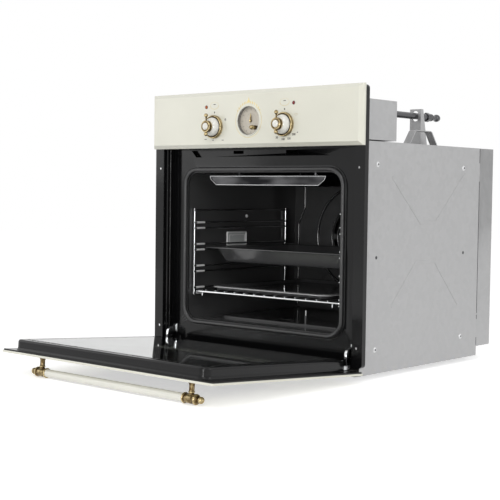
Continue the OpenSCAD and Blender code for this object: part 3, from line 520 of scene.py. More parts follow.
class Look(Enum):
    """Every finish of the oven."""

    ZINC = ZincSheet("galvanised_sheet", (0.45, 0.45, 0.453), 0.44)
    BLACK = Enamel("black_enamel", (0.004, 0.004, 0.0044), 0.11, ior=1.36, coat=0.0, speck=(0.012, 0.012, 0.013))
    PAN = Enamel("pan_enamel", (0.004, 0.004, 0.0044), 0.17, ior=1.34, coat=0.0, speck=(0.012, 0.012, 0.013))
    OVEN = Enamel("oven_enamel", (0.062, 0.062, 0.063), 0.15, coat=0.0, speck=(0.07, 0.07, 0.075))
    TRAY = Enamel("tray_enamel", (0.07, 0.07, 0.072), 0.12, ior=1.6, coat=0.0)
    ROLL = Enamel("rolled_enamel", (0.012, 0.012, 0.013), 0.2, ior=1.7, coat=1.0)
    IVORY = Enamel("ivory_enamel", (0.80, 0.79, 0.685), 0.16, peel=0.00003, coat=0.3)
    # a brighter copy of the ivory for the handle: painted light that the low handle lacks
    LIGHTENED_IVORY = Enamel("ivory_painted_lighter", (0.93, 0.92, 0.85), 0.16, peel=0.00003, coat=0.3)
    PORCELAIN = Enamel("white_porcelain", (0.86, 0.85, 0.79), 0.08, peel=0.00001)
    # plain white for bright metal parts: a painted highlight in place of their reflections
    HIGHLIGHT_WHITE = Enamel("highlight_painted_white", (0.90, 0.90, 0.90), 0.2, peel=0.00001)
    BRONZE = Patina("antique_bronze", (0.64, 0.52, 0.29), 0.13, dark=(0.075, 0.043, 0.014))
    AGED = Patina("aged_bronze", (0.20, 0.14, 0.07), 0.34, dark=(0.04, 0.026, 0.014))
    # dark ring on the bezels' inner slopes: painted shade
    BEZEL_SHADE = Patina("brown_painted_shade", (0.16, 0.085, 0.03), 0.24, dark=(0.05, 0.026, 0.012))
    GOLD = Patina("gold_paint", (0.74, 0.62, 0.33), 0.34, dark=(0.58, 0.46, 0.20))
    BRASS = BrightMetal("turned_brass", (0.70, 0.52, 0.22), 0.28, grain=(1.0, 6.0, 1.0))
    CHROME = BrightMetal("chrome_wire", (0.78, 0.79, 0.80), 0.09)
    SATIN = BrightMetal("satin_steel", (0.74, 0.745, 0.75), 0.36)
    STEEL = BrightMetal("bright_steel", (0.60, 0.61, 0.62), 0.2, grain=(1.0, 1.0, 8.0))
    PLATED = BrightMetal("plated_steel", (0.36, 0.36, 0.365), 0.3)
    PIPE = BrightMetal("bare_steel_pipe", (0.12, 0.12, 0.125), 0.26, grain=(1.0, 5.0, 1.0))
    # the dark patches of this finish are painted reflections
    BLUED = BrightMetal("blued_steel", (0.12, 0.12, 0.124), 0.14, dark=(0.014, 0.014, 0.015))
    GLINT = BrightMetal("polished_sleeve", (0.95, 0.95, 0.95), 0.5)
    VALVE = BrightMetal("cast_alloy", (0.48, 0.47, 0.45), 0.48, depth=0.00006)
    PLASTIC = Moulded("dark_plastic", (0.03, 0.03, 0.034), 0.45)
    INK = Moulded("printed_ink", (0.035, 0.03, 0.028), 0.5)
    ROPE = Braid("rope_gasket", (0.022, 0.022, 0.023), 0.35)
    WOOL = Wool("mineral_wool", (0.32, 0.29, 0.22), 0.95)
    MIRROR = Glass("dark_glass", (0.012, 0.013, 0.014), 0.03, ior=1.6, coat=0.3)
    PANE = Glass("clear_pane", (0.92, 0.95, 0.93), 0.02, ior=1.3, transmission=1.0, coat=0.0)
    CLEAR = Glass("lamp_glass", (0.82, 0.85, 0.84), 0.2, ior=1.45, transmission=0.25)
    ORANGE = Lens("orange_lens", (0.45, 0.09, 0.008), 0.22, centre=(-0.1244, 0.557))
    RED = Lens("red_lens", (0.24, 0.004, 0.007), 0.2, centre=(0.1244, 0.557))
    DIAL = DialFace("clock_face", (0.60, 0.55, 0.46), 0.45, centre=(0.0, 0.524))

    @property
    def material(self) -> bpy.types.Material:
        """The Blender material of this finish."""
        return self.value.material()


# Meshes


def placed(name: str, data: bpy.types.ID) -> Piece:
    """A new object of the scene.

    Args:
        name: the object's name
        data: its mesh, light, camera or curve

    Returns:
        The object.
    """
    made = bpy.data.objects.new(name, data)
    bpy.context.scene.collection.objects.link(made)
    return made


def among(items: Iterable[object], kind: type) -> list:
    """The vertices or the edges among an operator's results."""
    return [item for item in items if isinstance(item, kind)]


def polar(radius: float, degrees: Iterable[float]) -> list[Pair]:
    """Points of a circle about 0, 0 at the given angles."""
    return [(radius * math.cos(math.radians(a)), radius * math.sin(math.radians(a))) for a in degrees]


def across(*places: float) -> list[tuple[Point, Point]]:
    """Planes across X at the given places, each as a point and its normal."""
    return [((x, 0, 0), (1, 0, 0)) for x in places]


def upright(*places: float) -> list[tuple[Point, Point]]:
    """Planes across Y at the given places, each as a point and its normal."""
    return [((0, y, 0), (0, 1, 0)) for y in places]


class Form:
    """A mesh in the making, shaped with bmesh operators, in millimetres."""

    def __init__(self) -> None:
        """Starts empty."""
        self.bm = bmesh.new()

    @classmethod
    def of_node(cls, node: str) -> "Form":
        """A merged copy of a CAD node, with its flat faces joined.

        Args:
            node: the CAD node's name

        Returns:
            The copy.
        """
        form = cls()
        form.bm.from_mesh(frame["nodes"][node].data)
        form.scale((1 / MM,) * 3)
        verts, edges = form.bm.verts, form.bm.edges
        bmesh.ops.remove_doubles(form.bm, verts=verts, dist=MERGED)
        bmesh.ops.dissolve_degenerate(form.bm, dist=MERGED, edges=edges)
        bmesh.ops.dissolve_limit(form.bm, angle_limit=FLAT, verts=verts, edges=edges)
        return form

    @classmethod
    def block(cls, low: Point, high: Point) -> "Form":
        """A box.

        Args:
            low: its lowest corner
            high: its highest corner

        Returns:
            The box.
        """
        form = cls()
        bmesh.ops.create_cube(form.bm, size=1.0)
        return form.scale(Vector(high) - Vector(low)).move((Vector(low) + Vector(high)) / 2)

    @classmethod
    def turned(cls, profile: Sequence[Pair], steps: int = 64) -> "Form":
        """A half outline turned about the Z axis.

        Args:
            profile: pairs of radius and height
            steps: facets in a full turn

        Returns:
            The turned shape.
        """
        form = cls()
        points = [form.bm.verts.new((radius, 0.0, height)) for radius, height in profile]
        for ends in zip(points, points[1:]):
            form.bm.edges.new(ends)
        form.sweep(360.0, steps, True)
        bmesh.ops.remove_doubles(form.bm, verts=form.bm.verts, dist=WELD)
        return form.outward()

    @classmethod
    def loops(cls, rows: Sequence[Row], segments: int = 8, close: tuple[bool, bool] = (False, False)) -> "Form":
        """A shell through a stack of rectangles with round corners, each in X and Y at its own Z.

        Args:
            rows: width, depth, corner radius and level of each rectangle
            segments: facets of a corner
            close: whether the first and the last rectangle are filled

        Returns:
            The shell.
        """
        form = cls()
        rims = [form._rim(*row, segments) for row in rows]
        for below, above in zip(rims, rims[1:]):
            bmesh.ops.bridge_loops(form.bm, edges=below + above)
        for rim, filled in zip((rims[0], rims[-1]), close):
            if filled:
                bmesh.ops.contextual_create(form.bm, geom=rim)
        return form.outward()

    def _rim(self, width: float, depth: float, radius: float, level: float,
             segments: int) -> list[bmesh.types.BMEdge]:
        """Adds the edges of one rectangle with round corners.

        Args:
            width: size in X
            depth: size in Y
            radius: corner radius
            level: its Z
            segments: facets of a corner

        Returns:
            Its edges.
        """
        own = Form()
        bmesh.ops.create_grid(own.bm, x_segments=1, y_segments=1, size=0.5)
        own.scale((width, depth, 1.0)).rounded(own.bm.verts[:], radius, segments, "VERTICES")
        bmesh.ops.delete(own.bm, geom=own.bm.faces[:], context="FACES_ONLY")
        before = set(self.bm.edges)
        self.add(own.move((0.0, 0.0, level)))
        return [edge for edge in self.bm.edges if edge not in before]

    @classmethod
    def rod(cls, start: Point, end: Point, diameter: float, sides: int = 16, dome: float = 0.0) -> "Form":
        """A round rod between two points.

        Args:
            start: one end
            end: the other end
            diameter: its thickness
            sides: facets
            dome: how far its ends are rounded

        Returns:
            The rod.
        """
        form, half = cls(), diameter / 2
        way = Vector(end) - Vector(start)
        bmesh.ops.create_cone(form.bm, cap_ends=True, segments=sides, radius1=half, radius2=half, depth=way.length)
        if dome:
            form.bevel(dome, 3, 60.0)
        form.rotate(Vector((0, 0, 1)).rotation_difference(way).to_matrix())
        return form.move((Vector(start) + Vector(end)) / 2)

    @classmethod
    def bent(cls, centre: Point, radius: float, diameter: float, start: float, sides: int) -> "Form":
        """A quarter of a wire ring lying flat.

        Args:
            centre: middle of the bend
            radius: of the wire's axis
            diameter: of the wire
            start: angle at which it starts, in degrees
            sides: facets round the wire

        Returns:
            The bend.
        """
        form = cls()
        bmesh.ops.create_circle(form.bm, segments=sides, radius=diameter / 2)
        form.turn(90.0, "X").move((radius, 0, 0)).turn(start, "Z").sweep(90.0, 8)
        return form.outward().move(centre)

    @classmethod
    def plate(cls, outline: Sequence[Pair], thickness: float) -> "Form":
        """A flat outline in X and Y raised from Z 0.

        Args:
            outline: corners in order
            thickness: its height

        Returns:
            The plate.
        """
        form = cls()
        face = form.bm.faces.new([form.bm.verts.new((x, y, 0.0)) for x, y in outline])
        raised = bmesh.ops.extrude_face_region(form.bm, geom=[face])["geom"]
        tops = among(raised, bmesh.types.BMVert)
        bmesh.ops.translate(form.bm, vec=(0.0, 0.0, thickness), verts=tops)
        return form.outward()

    @classmethod
    def along(cls, points: Sequence[Point], diameter: float) -> "Form":
        """A rolled edge through points: a rod with round ends from each to the next."""
        return cls().add(*(cls.rod(*ends, diameter, 16, diameter * 0.3) for ends in zip(points, points[1:])))

    def add(self, *others: "Form") -> "Form":
        """Takes other shapes in.

        Args:
            others: the shapes

        Returns:
            The shape itself.
        """
        for other in others:
            mesh = bpy.data.meshes.new("part")
            other.bm.to_mesh(mesh)
            self.bm.from_mesh(mesh)
            bpy.data.meshes.remove(mesh)
        return self

    def outward(self) -> "Form":
        """Turns every face outwards."""
        bmesh.ops.recalc_face_normals(self.bm, faces=self.bm.faces)
        return self

    def scale(self, by: Point | Vector) -> "Form":
        """Scales the shape along each axis."""
        bmesh.ops.scale(self.bm, vec=by, verts=self.bm.verts)
        return self

    def move(self, by: Point | Vector) -> "Form":
        """Shifts the shape."""
        bmesh.ops.translate(self.bm, vec=Vector(by), verts=self.bm.verts)
        return self

    def turn(self, degrees: float, axis: str) -> "Form":
        """Turns the shape about an axis through 0, 0, 0."""
        return self.rotate(Matrix.Rotation(math.radians(degrees), 3, axis))

    def rotate(self, matrix: Matrix) -> "Form":
        """Turns the shape about 0, 0, 0 by a matrix."""
        bmesh.ops.rotate(self.bm, cent=(0, 0, 0), matrix=matrix, verts=self.bm.verts)
        return self

    def sweep(self, degrees: float, steps: int, closed: bool = False) -> "Form":
        """Sweeps the shape's edges about the Z axis into faces.

        Args:
            degrees: how far
            steps: facets on the way
            closed: whether the end joins the start

        Returns:
            The shape itself.
        """
        bmesh.ops.spin(
            self.bm, geom=self.bm.verts[:] + self.bm.edges[:], axis=(0, 0, 1), cent=(0, 0, 0),
            angle=math.radians(degrees), steps=steps, use_merge=closed,
        )
        return self

    def mirrored(self) -> "Form":
        """A copy mirrored to the other side of the middle plane.

        Returns:
            The copy.
        """
        twin = Form().add(self).scale((-1, 1, 1))
        bmesh.ops.reverse_faces(twin.bm, faces=twin.bm.faces)
        return twin

    def both(self) -> "Form":
        """Adds the mirrored shape."""
        return self.add(self.mirrored())

    def rounded(self, geom: Sequence[object], width: float, segments: int, affect: str = "EDGES") -> "Form":
        """Rounds the given edges or corners.

        Args:
            geom: the edges or the vertices
            width: of the rounding
            segments: of the rounding
            affect: EDGES or VERTICES

        Returns:
            The shape itself.
        """
        bmesh.ops.bevel(
            self.bm, geom=geom, offset=width, offset_type="OFFSET", segments=segments, profile=0.5,
            affect=affect, clamp_overlap=affect == "EDGES", material=-1,
        )
        return self

    def bevel(self, width: float, segments: int = 2, angle: float = 35.0) -> "Form":
        """Rounds the edges that are sharper than an angle.

        Args:
            width: of the rounding
            segments: of the rounding
            angle: in degrees between the two faces

        Returns:
            The shape itself.
        """
        limit = math.radians(angle)
        sharp = [e for e in self.bm.edges if len(e.link_faces) == 2 and e.calc_face_angle(0.0) > limit]
        return self.rounded(sharp, width, segments)

    def cut_out(self, planes: Iterable[tuple[Point, Point]], inside: Callable[[Vector], bool]) -> "Form":
        """Cuts the shape along planes and takes out faces.

        Args:
            planes: a point and the normal of each
            inside: says from a face's middle whether it goes

        Returns:
            The shape itself.
        """
        for at, normal in planes:
            geom = self.bm.verts[:] + self.bm.edges[:] + self.bm.faces[:]
            bmesh.ops.bisect_plane(self.bm, geom=geom, dist=CUT, plane_co=at, plane_no=normal)
        gone = [face for face in self.bm.faces if inside(face.calc_center_median())]
        bmesh.ops.delete(self.bm, geom=gone, context="FACES")
        return self

    def forward(self, at: Point) -> "Form":
        """Stands a shape turned about Z so that its Z points to the front, at a point."""
        return self.turn(90.0, "X").move(at)

    def piece(self, name: str, look: Look, body: str, slot: str, replaces: Iterable[str] = (),
              smooth: float = 32.0) -> Piece:
        """Makes the shape an object that rides on a body.

        Args:
            name: the piece's name
            look: its finish
            body: the CAD body that carries it
            slot: the record's material slot; not used
            replaces: CAD nodes that it stands for
            smooth: angle under which faces are shaded smooth

        Returns:
            The object.
        """
        self.scale((MM,) * 3)
        mesh = bpy.data.meshes.new(name)
        self.bm.to_mesh(mesh)
        self.bm.free()
        mesh.materials.clear()
        mesh.materials.append(look.material)
        mesh.shade_smooth()
        mesh.set_sharp_from_angle(angle=math.radians(smooth))
        made = placed(name, mesh)
        made.modifiers.new("even_shading", "WEIGHTED_NORMAL").keep_sharp = True
        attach(made, body)
        nodes = list(replaces)
        if nodes:
            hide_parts(*nodes)
        return made


def dressed(node: str, look: Look, slot: str, body: str = "oven", round_by: float = 0.0, angle: float = 35.0,
            segments: int = 2) -> Piece:
    """Replaces a CAD node by a merged copy with rounded edges.

    Args:
        node: the CAD node
        look: its finish
        slot: the record's material slot
        body: the CAD body that carries it
        round_by: width of the rounding of its edges, 0 for none
        angle: edges sharper than this are rounded
        segments: of the rounding

    Returns:
        The piece.
    """
    form = Form.of_node(node)
    if round_by:
        form.bevel(round_by, segments, angle)
    return form.piece(f"{node}_formed", look, body, slot, [node])


def walled(made: Piece, wall: float) -> Piece:
    """Gives a shell its wall, against the faces' direction, with a live modifier.

    Args:
        made: the shell
        wall: its thickness in millimetres

    Returns:
        The same object.
    """
    maker = made.modifiers.new("wall", "SOLIDIFY")
    maker.thickness = wall * MM
    maker.offset = -1.0
    return made


# Sub-assemblies


@dataclass
class Casing:
    """Galvanised casing, its screws and what stands on its top."""

    sheets: tuple[str, ...] = ("left_side_panel", "right_side_panel", "top_panel", "bottom_panel", "rear_panel",
                               "rear_box", "control_box", "pipe_bracket")
    fold: float = 0.35
    half: float = 278.0
    screws: tuple[Pair, ...] = ((60.0, 431.0), (394.0, 431.0), (60.0, 50.0), (394.0, 50.0))
    head: float = 8.4
    head_h: float = 1.9
    cross: Pair = (2.3, 0.45)
    cross_deep: float = 1.2
    washer: float = 11.5
    # width of the dark disc that paints the shade of a screw head's sunk cross
    shade_disc: float = 4.6
    holes: tuple[Pair, ...] = ((60.0, 240.0), (399.0, 240.0))
    # width of the dark stop that paints the shade inside a plain hole
    hole: float = 7.2
    seam: Pair = (463.2, 465.2)
    spans: tuple[Pair, ...] = ((24.0, 42.0), (84.0, 94.0), (98.0, 402.0), (444.0, 477.0))
    strap_bend: float = 5.0
    strap_edge: float = 0.7

    def build(self) -> list[Piece]:
        """Makes the casing's pieces.

        Returns:
            The pieces.
        """
        sheets = [dressed(node, Look.ZINC, "galvanised", round_by=self.fold) for node in self.sheets]
        return [*sheets, self.strap(), self.panel_screws(), self.painted_shadows(), self.seams()]

    def painted_shadows(self) -> Piece:
        """Painted shadows: dark discs sunk in the screw heads' crosses and dark stops behind the plain holes,
        where only shade is.

        Returns:
            The piece.
        """
        form, face, top = Form(), self.half, self.half + self.head_h
        for depth, height in self.screws:
            # dark disc on each screw head: painted shade of its sunk cross
            form.add(Form.rod((top - 1.5, depth, height), (top + 0.1, depth, height), self.shade_disc, 20, 0.2))
        for depth, height in self.holes:
            # dark stop behind each plain hole: painted shade
            form.add(Form.rod((face - 3.0, depth, height), (face + 0.1, depth, height), self.hole, 24, 0.1))
        return form.both().piece("screw_and_hole_painted_shadows", Look.PLASTIC, "oven", "dark_plastic")

    def seams(self) -> Piece:
        """Dark joint between the side panels and the rear box.

        Returns:
            The piece.
        """
        form, (near, far) = Form(), self.seam
        for low, high in self.spans:
            form.add(Form.block((self.half - 1.0, near, low), (self.half + 0.15, far, high)))
        return form.both().piece("rear_seams", Look.PLASTIC, "oven", "dark_plastic")

    def strap(self) -> Piece:
        """Hat-shaped strap with rolled bends.

        Returns:
            The piece.
        """
        form = Form.of_node("strap_bracket")
        bends = [e for e in form.bm.edges if abs((e.verts[0].co - e.verts[1].co).normalized().x) > 0.99
                 and 0.3 < e.calc_face_angle(0.0) < 1.3]
        form.rounded(bends, self.strap_bend, 6).bevel(self.strap_edge, 3, 60.0)
        return form.piece("strap_rolled", Look.ZINC, "oven", "galvanised", ["strap_bracket"], 40.0)

    def screw(self) -> Form:
        """One cross-recessed pan head with its washer, pointing up from Z 0.

        Returns:
            The screw's shape.
        """
        form, radius, corners = Form(), self.head / 2, []
        rim = bmesh.ops.create_circle(form.bm, segments=32, radius=radius - 0.8)["verts"]
        arm, half = self.cross
        for quarter in range(4):
            turn = Matrix.Rotation(math.radians(90 * quarter), 3, "Z")
            for corner in ((half, half, 0), (arm, half, 0), (arm, -half, 0)):
                corners.append(form.bm.verts.new(turn @ Vector(corner)))
        order = sorted(corners, key=lambda v: math.atan2(v.co.y, v.co.x))
        edges = [form.bm.edges.new(ends) for ends in zip(order, order[1:] + order[:1])]
        outer = [e for e in form.bm.edges if e.verts[0] in rim and e.verts[1] in rim]
        bmesh.ops.triangle_fill(form.bm, use_beauty=True, edges=outer + edges)
        for face in form.bm.faces[:]:
            if face.calc_center_median().length < 1.2 and all(v in corners for v in face.verts):
                form.bm.faces.remove(face)
        sunk = bmesh.ops.extrude_edge_only(form.bm, edges=edges)["geom"]
        low = among(sunk, bmesh.types.BMVert)
        bmesh.ops.translate(form.bm, vec=(0, 0, -self.cross_deep), verts=low)
        bmesh.ops.scale(form.bm, vec=(0.75, 0.75, 1.0), verts=low)
        bmesh.ops.contextual_create(form.bm, geom=among(sunk, bmesh.types.BMEdge))
        for reach, level in ((radius - 0.1, -0.55), (radius, -1.1), (radius, -1.4)):
            skirt = bmesh.ops.extrude_edge_only(form.bm, edges=outer)["geom"]
            for v in among(skirt, bmesh.types.BMVert):
                v.co = Vector((v.co.x, v.co.y, 0)).normalized() * reach + Vector((0, 0, level))
            outer = among(skirt, bmesh.types.BMEdge)
        wide = self.washer / 2
        disc = Form.turned([(0, 0), (wide, 0), (wide - 0.2, 0.45), (radius - 0.4, 0.6), (0, 0.6)], 32)
        return form.outward().move((0, 0, self.head_h)).add(disc)

    def panel_screws(self) -> Piece:
        """The screws on both sides of the casing.

        Returns:
            The piece.
        """
        row = Form()
        for depth, height in self.screws:
            row.add(self.screw().turn(23.0, "Z").turn(90.0, "Y").move((self.half, depth, height)))
        return row.both().piece("panel_screw_heads", Look.SATIN, "oven", "bright_steel", ["panel_screws"], 40.0)


@dataclass
class GasLine:
    """Gas pipe, hose tail and the burner's pipe inside the casing."""

    tail: Point = (150.0, 430.0, 552.0)
    nut: float = 11.0
    nut_h: float = 12.2

    def build(self) -> list[Piece]:
        """Makes the pieces of the gas line."""
        pipe = dressed("gas_pipe", Look.PIPE, "plated_steel", round_by=0.3, angle=60.0)
        return [pipe, self.hose_tail(), dressed("burner_pipe", Look.BRASS, "plated_steel")]

    def hose_tail(self) -> Piece:
        """Steel nut with six flats, a waist and a barbed end.

        Returns:
            The piece.
        """
        tail = Form.turned([
            (4.6, 30), (4.6, 54.2), (5.0, 54.6), (6.4, 54.6), (7.2, 53.8), (8.2, 51.4), (8.7, 48.6), (8.75, 46.0),
            (8.2, 43.2), (7.0, 40.6), (6.2, 38.0), (5.9, 35.0), (6.0, 31.0), (6.6, 27.6), (8.0, 25.0), (8.6, 23.4),
            (8.6, 20.4), (7.6, 19.2), (7.6, 17.4), (9.2, 16.2), (9.4, 13.0), (9.4, 8.2)], 48)
        nut = Form()
        bmesh.ops.create_cone(
            nut.bm, cap_ends=True, segments=6, radius1=self.nut, radius2=self.nut, depth=self.nut_h
        )
        tail.add(nut.bevel(0.7, 3, 30.0).move((0, 0, 6.3))).turn(-90.0, "X").move(self.tail)
        return tail.piece("hose_tail_barbed", Look.PIPE, "oven", "brass", ["hose_tail"], 40.0)


@dataclass
class Front:
    """Black mounting frame, front plate, folded posts and gasket."""

    post: float = 272.5
    low: float = 20.5
    high: float = 466.6
    fold: float = 0.45
    steps: tuple[Pair, ...] = ((0.0, -11.2), (0.4, -11.2), (0.4, -1.6), (2.0, 0.6), (2.0, 5.2), (0.4, 6.6),
                               (0.4, 8.4), (2.0, 9.6), (2.0, 12.8), (0.4, 14.2), (0.4, 17.4), (0.0, 17.4))

    def build(self) -> list[Piece]:
        """Makes the front's pieces.

        Returns:
            The pieces.
        """
        return [
            dressed("mounting_frame", Look.BLACK, "black_enamel", round_by=0.7, segments=3),
            dressed("front_plate", Look.BLACK, "black_enamel", round_by=self.fold),
            self.post_folds(),
            dressed("door_gasket", Look.ROPE, "gasket", round_by=0.3, angle=50.0),
        ]

    def post_folds(self) -> Piece:
        """Vertical folds on the inner side of both posts.

        Returns:
            The piece.
        """
        folds = Form.plate([(self.post - out, y) for out, y in self.steps], self.high - self.low)
        folds.bevel(self.fold, 3, 30.0).move((0, 0, self.low)).both()
        return folds.piece("post_folds", Look.BLACK, "oven", "black_enamel")


class Symbol(Enum):
    """Plain function symbols: the points of a line from the symbol's middle, and its width."""

    BLADE = ((-1.2, -1.2), (1.2, 1.2)), 0.8
    BAR = ((-2.8, 0.0), (2.8, 0.0)), 1.3
    ZIGZAG = ((-2.6, 0.0), (-1.3, 1.6), (0.0, 0.0), (1.3, 1.6), (2.6, 0.0)), 0.8


@dataclass
class Fascia:
    """Ivory control panel with its printed marks and gilt lines."""

    face: float = -26.4
    knob_x: float = 100.0
    clock_z: float = 524.0
    mark: float = 0.12
    fan: Pair = (-67.5, 528.0)
    symbols: tuple[tuple[Symbol, Pair], ...] = (
        (Symbol.BLADE, (-67.5, 528.0)), (Symbol.BAR, (-126.0, 486.2)), (Symbol.ZIGZAG, (-103.6, 483.4)),
        (Symbol.BAR, (-74.6, 483.8)))
    figures: tuple[tuple[str, Pair], ...] = (
        ("50", (80.0, 486.0)), ("100", (96.9, 482.0)), ("150", (112.6, 483.2)), ("200", (125.8, 491.6)))
    figure: float = 6.2
    dot: Pair = (543.8, 545.8)
    dash_z: float = 562.2
    degree: tuple[Pair, Pair] = ((134.6, 495.6), (136.4, 495.6))
    ring: Pair = (37.2, 36.0)
    leaves: int = 6
    top_leaf: Pair = (36.0, 50.5)
    crescent_z: float = 559.6
    crescent: Pair = (12.6, 7.6)
    loop: Pair = (131.0, 533.0)

    def build(self) -> list[Piece]:
        """Makes the panel, the printed marks and the gilt lines."""
        panel = dressed("fascia", Look.IVORY, "ivory_enamel", round_by=3.2, angle=18.0, segments=5)
        return [panel, self.marks(), self.gilt()]

    def stroke(self, points: Sequence[Pair], width: float) -> Form:
        """A flat line through points of the fascia's face.

        Args:
            points: X and Z of each point
            width: of the line

        Returns:
            The line, standing a little proud of the face.
        """
        form = Form()
        for (x0, z0), (x1, z1) in zip(points, points[1:]):
            length = math.hypot(x1 - x0, z1 - z0) + width * 0.6
            bar = Form.block((-length / 2, 0, -width / 2), (length / 2, self.mark, width / 2))
            bar.turn(-math.degrees(math.atan2(z1 - z0, x1 - x0)), "Y")
            form.add(bar.move(((x0 + x1) / 2, self.face - self.mark, (z0 + z1) / 2)))
        return form

    def arc(self, centre: Pair, size: Pair, start: float, stop: float, width: float) -> Form:
        """An arc of an oval as a stroke.

        Args:
            centre: X and Z of its middle
            size: its two radii
            start: first angle in degrees, from the right and upwards
            stop: last angle
            width: of the line

        Returns:
            The arc.
        """
        (x, z), (wide, high), count = centre, size, max(6, int(abs(stop - start) / 7))
        turns = [math.radians(start + (stop - start) * k / count) for k in range(count + 1)]
        return self.stroke([(x + wide * math.cos(t), z + high * math.sin(t)) for t in turns], width)

    def numeral(self, text: str, at: Pair) -> Form:
        """A number as a flat mesh on the face.

        Args:
            text: the digits
            at: X and Z of its middle

        Returns:
            The number.
        """
        curve = bpy.data.curves.new("numeral", "FONT")
        curve.body = text
        curve.size = self.figure
        curve.align_x = curve.align_y = "CENTER"
        curve.extrude = self.mark / 2
        curve.offset = 0.16
        helper = placed("numeral", curve)
        bpy.context.view_layer.update()
        mesh = bpy.data.meshes.new_from_object(helper.evaluated_get(bpy.context.evaluated_depsgraph_get()))
        bpy.data.objects.remove(helper)
        form = Form()
        form.bm.from_mesh(mesh)
        bpy.data.meshes.remove(mesh)
        return form.turn(90.0, "X").move((at[0], self.face - self.mark / 2, at[1]))

    def marks(self) -> Piece:
        """Dots and small symbols round the function knob, dots and numbers round the thermostat knob.

        Returns:
            The piece.
        """
        form = Form()
        for x in (-self.knob_x, self.knob_x):
            form.add(self.stroke([(x, z) for z in self.dot], 2.6))
            form.add(self.stroke([(x - 2.8, self.dash_z), (x + 2.8, self.dash_z)], 1.5))
        form.add(self.arc(self.fan, (1.8, 2.6), 0, 360, 0.7))
        for symbol, (x, z) in self.symbols:
            points, width = symbol.value
            form.add(self.stroke([(x + right, z + up) for right, up in points], width))
        for text, at in self.figures:
            form.add(self.numeral(text, at))
        form.add(self.stroke(self.degree, 1.8))
        return form.piece("printed_marks", Look.INK, "oven", "dark_plastic")

    def gilt(self) -> Piece:
        """Thin gilt lines: a ring round the clock with plain leaves on top, and a crescent over each knob.

        Returns:
            The piece.
        """
        form = self.arc((0.0, self.clock_z), self.ring, 128, 412, 0.9)
        for side in (-1, 1):
            for k in range(self.leaves):
                turn = math.radians(90 - side * (10 + 9.5 * k))
                base = (36.6 * math.cos(turn), self.clock_z + 36.2 * math.sin(turn))
                length, lean = 9.0 - 0.8 * k, turn + side * 0.7
                tip = (base[0] + length * math.cos(lean), base[1] + length * math.sin(lean))
                form.add(self.leaf(base, tip, 3.4))
        foot, tip = ((0.0, self.clock_z + up) for up in self.top_leaf)
        form.add(self.leaf(foot, tip, 4.0))
        for x in (-self.knob_x, self.knob_x):
            for start, stop, width in ((172, 368, 0.8), (20, 160, 0.3)):
                form.add(self.arc((x, self.crescent_z), self.crescent, start, stop, width))
        form.add(self.arc(self.loop, (3.2, 2.2), 0, 360, 0.5))
        return form.piece("gilt_lines", Look.GOLD, "oven", "bronze")

    def leaf(self, base: Pair, tip: Pair, width: float) -> Form:
        """A pointed leaf between two points of the face.

        Args:
            base: its foot
            tip: its point
            width: its greatest width

        Returns:
            The leaf.
        """
        across, up = tip[0] - base[0], tip[1] - base[1]
        length = math.hypot(across, up)
        shoulder, neck = (length * 0.3, width / 2), (length * 0.65, width * 0.38)
        outline = [(0, 0), shoulder, neck, (length, 0), (neck[0], -neck[1]), (shoulder[0], -shoulder[1])]
        flat = Form.plate(outline, self.mark).turn(90.0, "X").turn(-math.degrees(math.atan2(up, across)), "Y")
        return flat.move((base[0], self.face, base[1]))


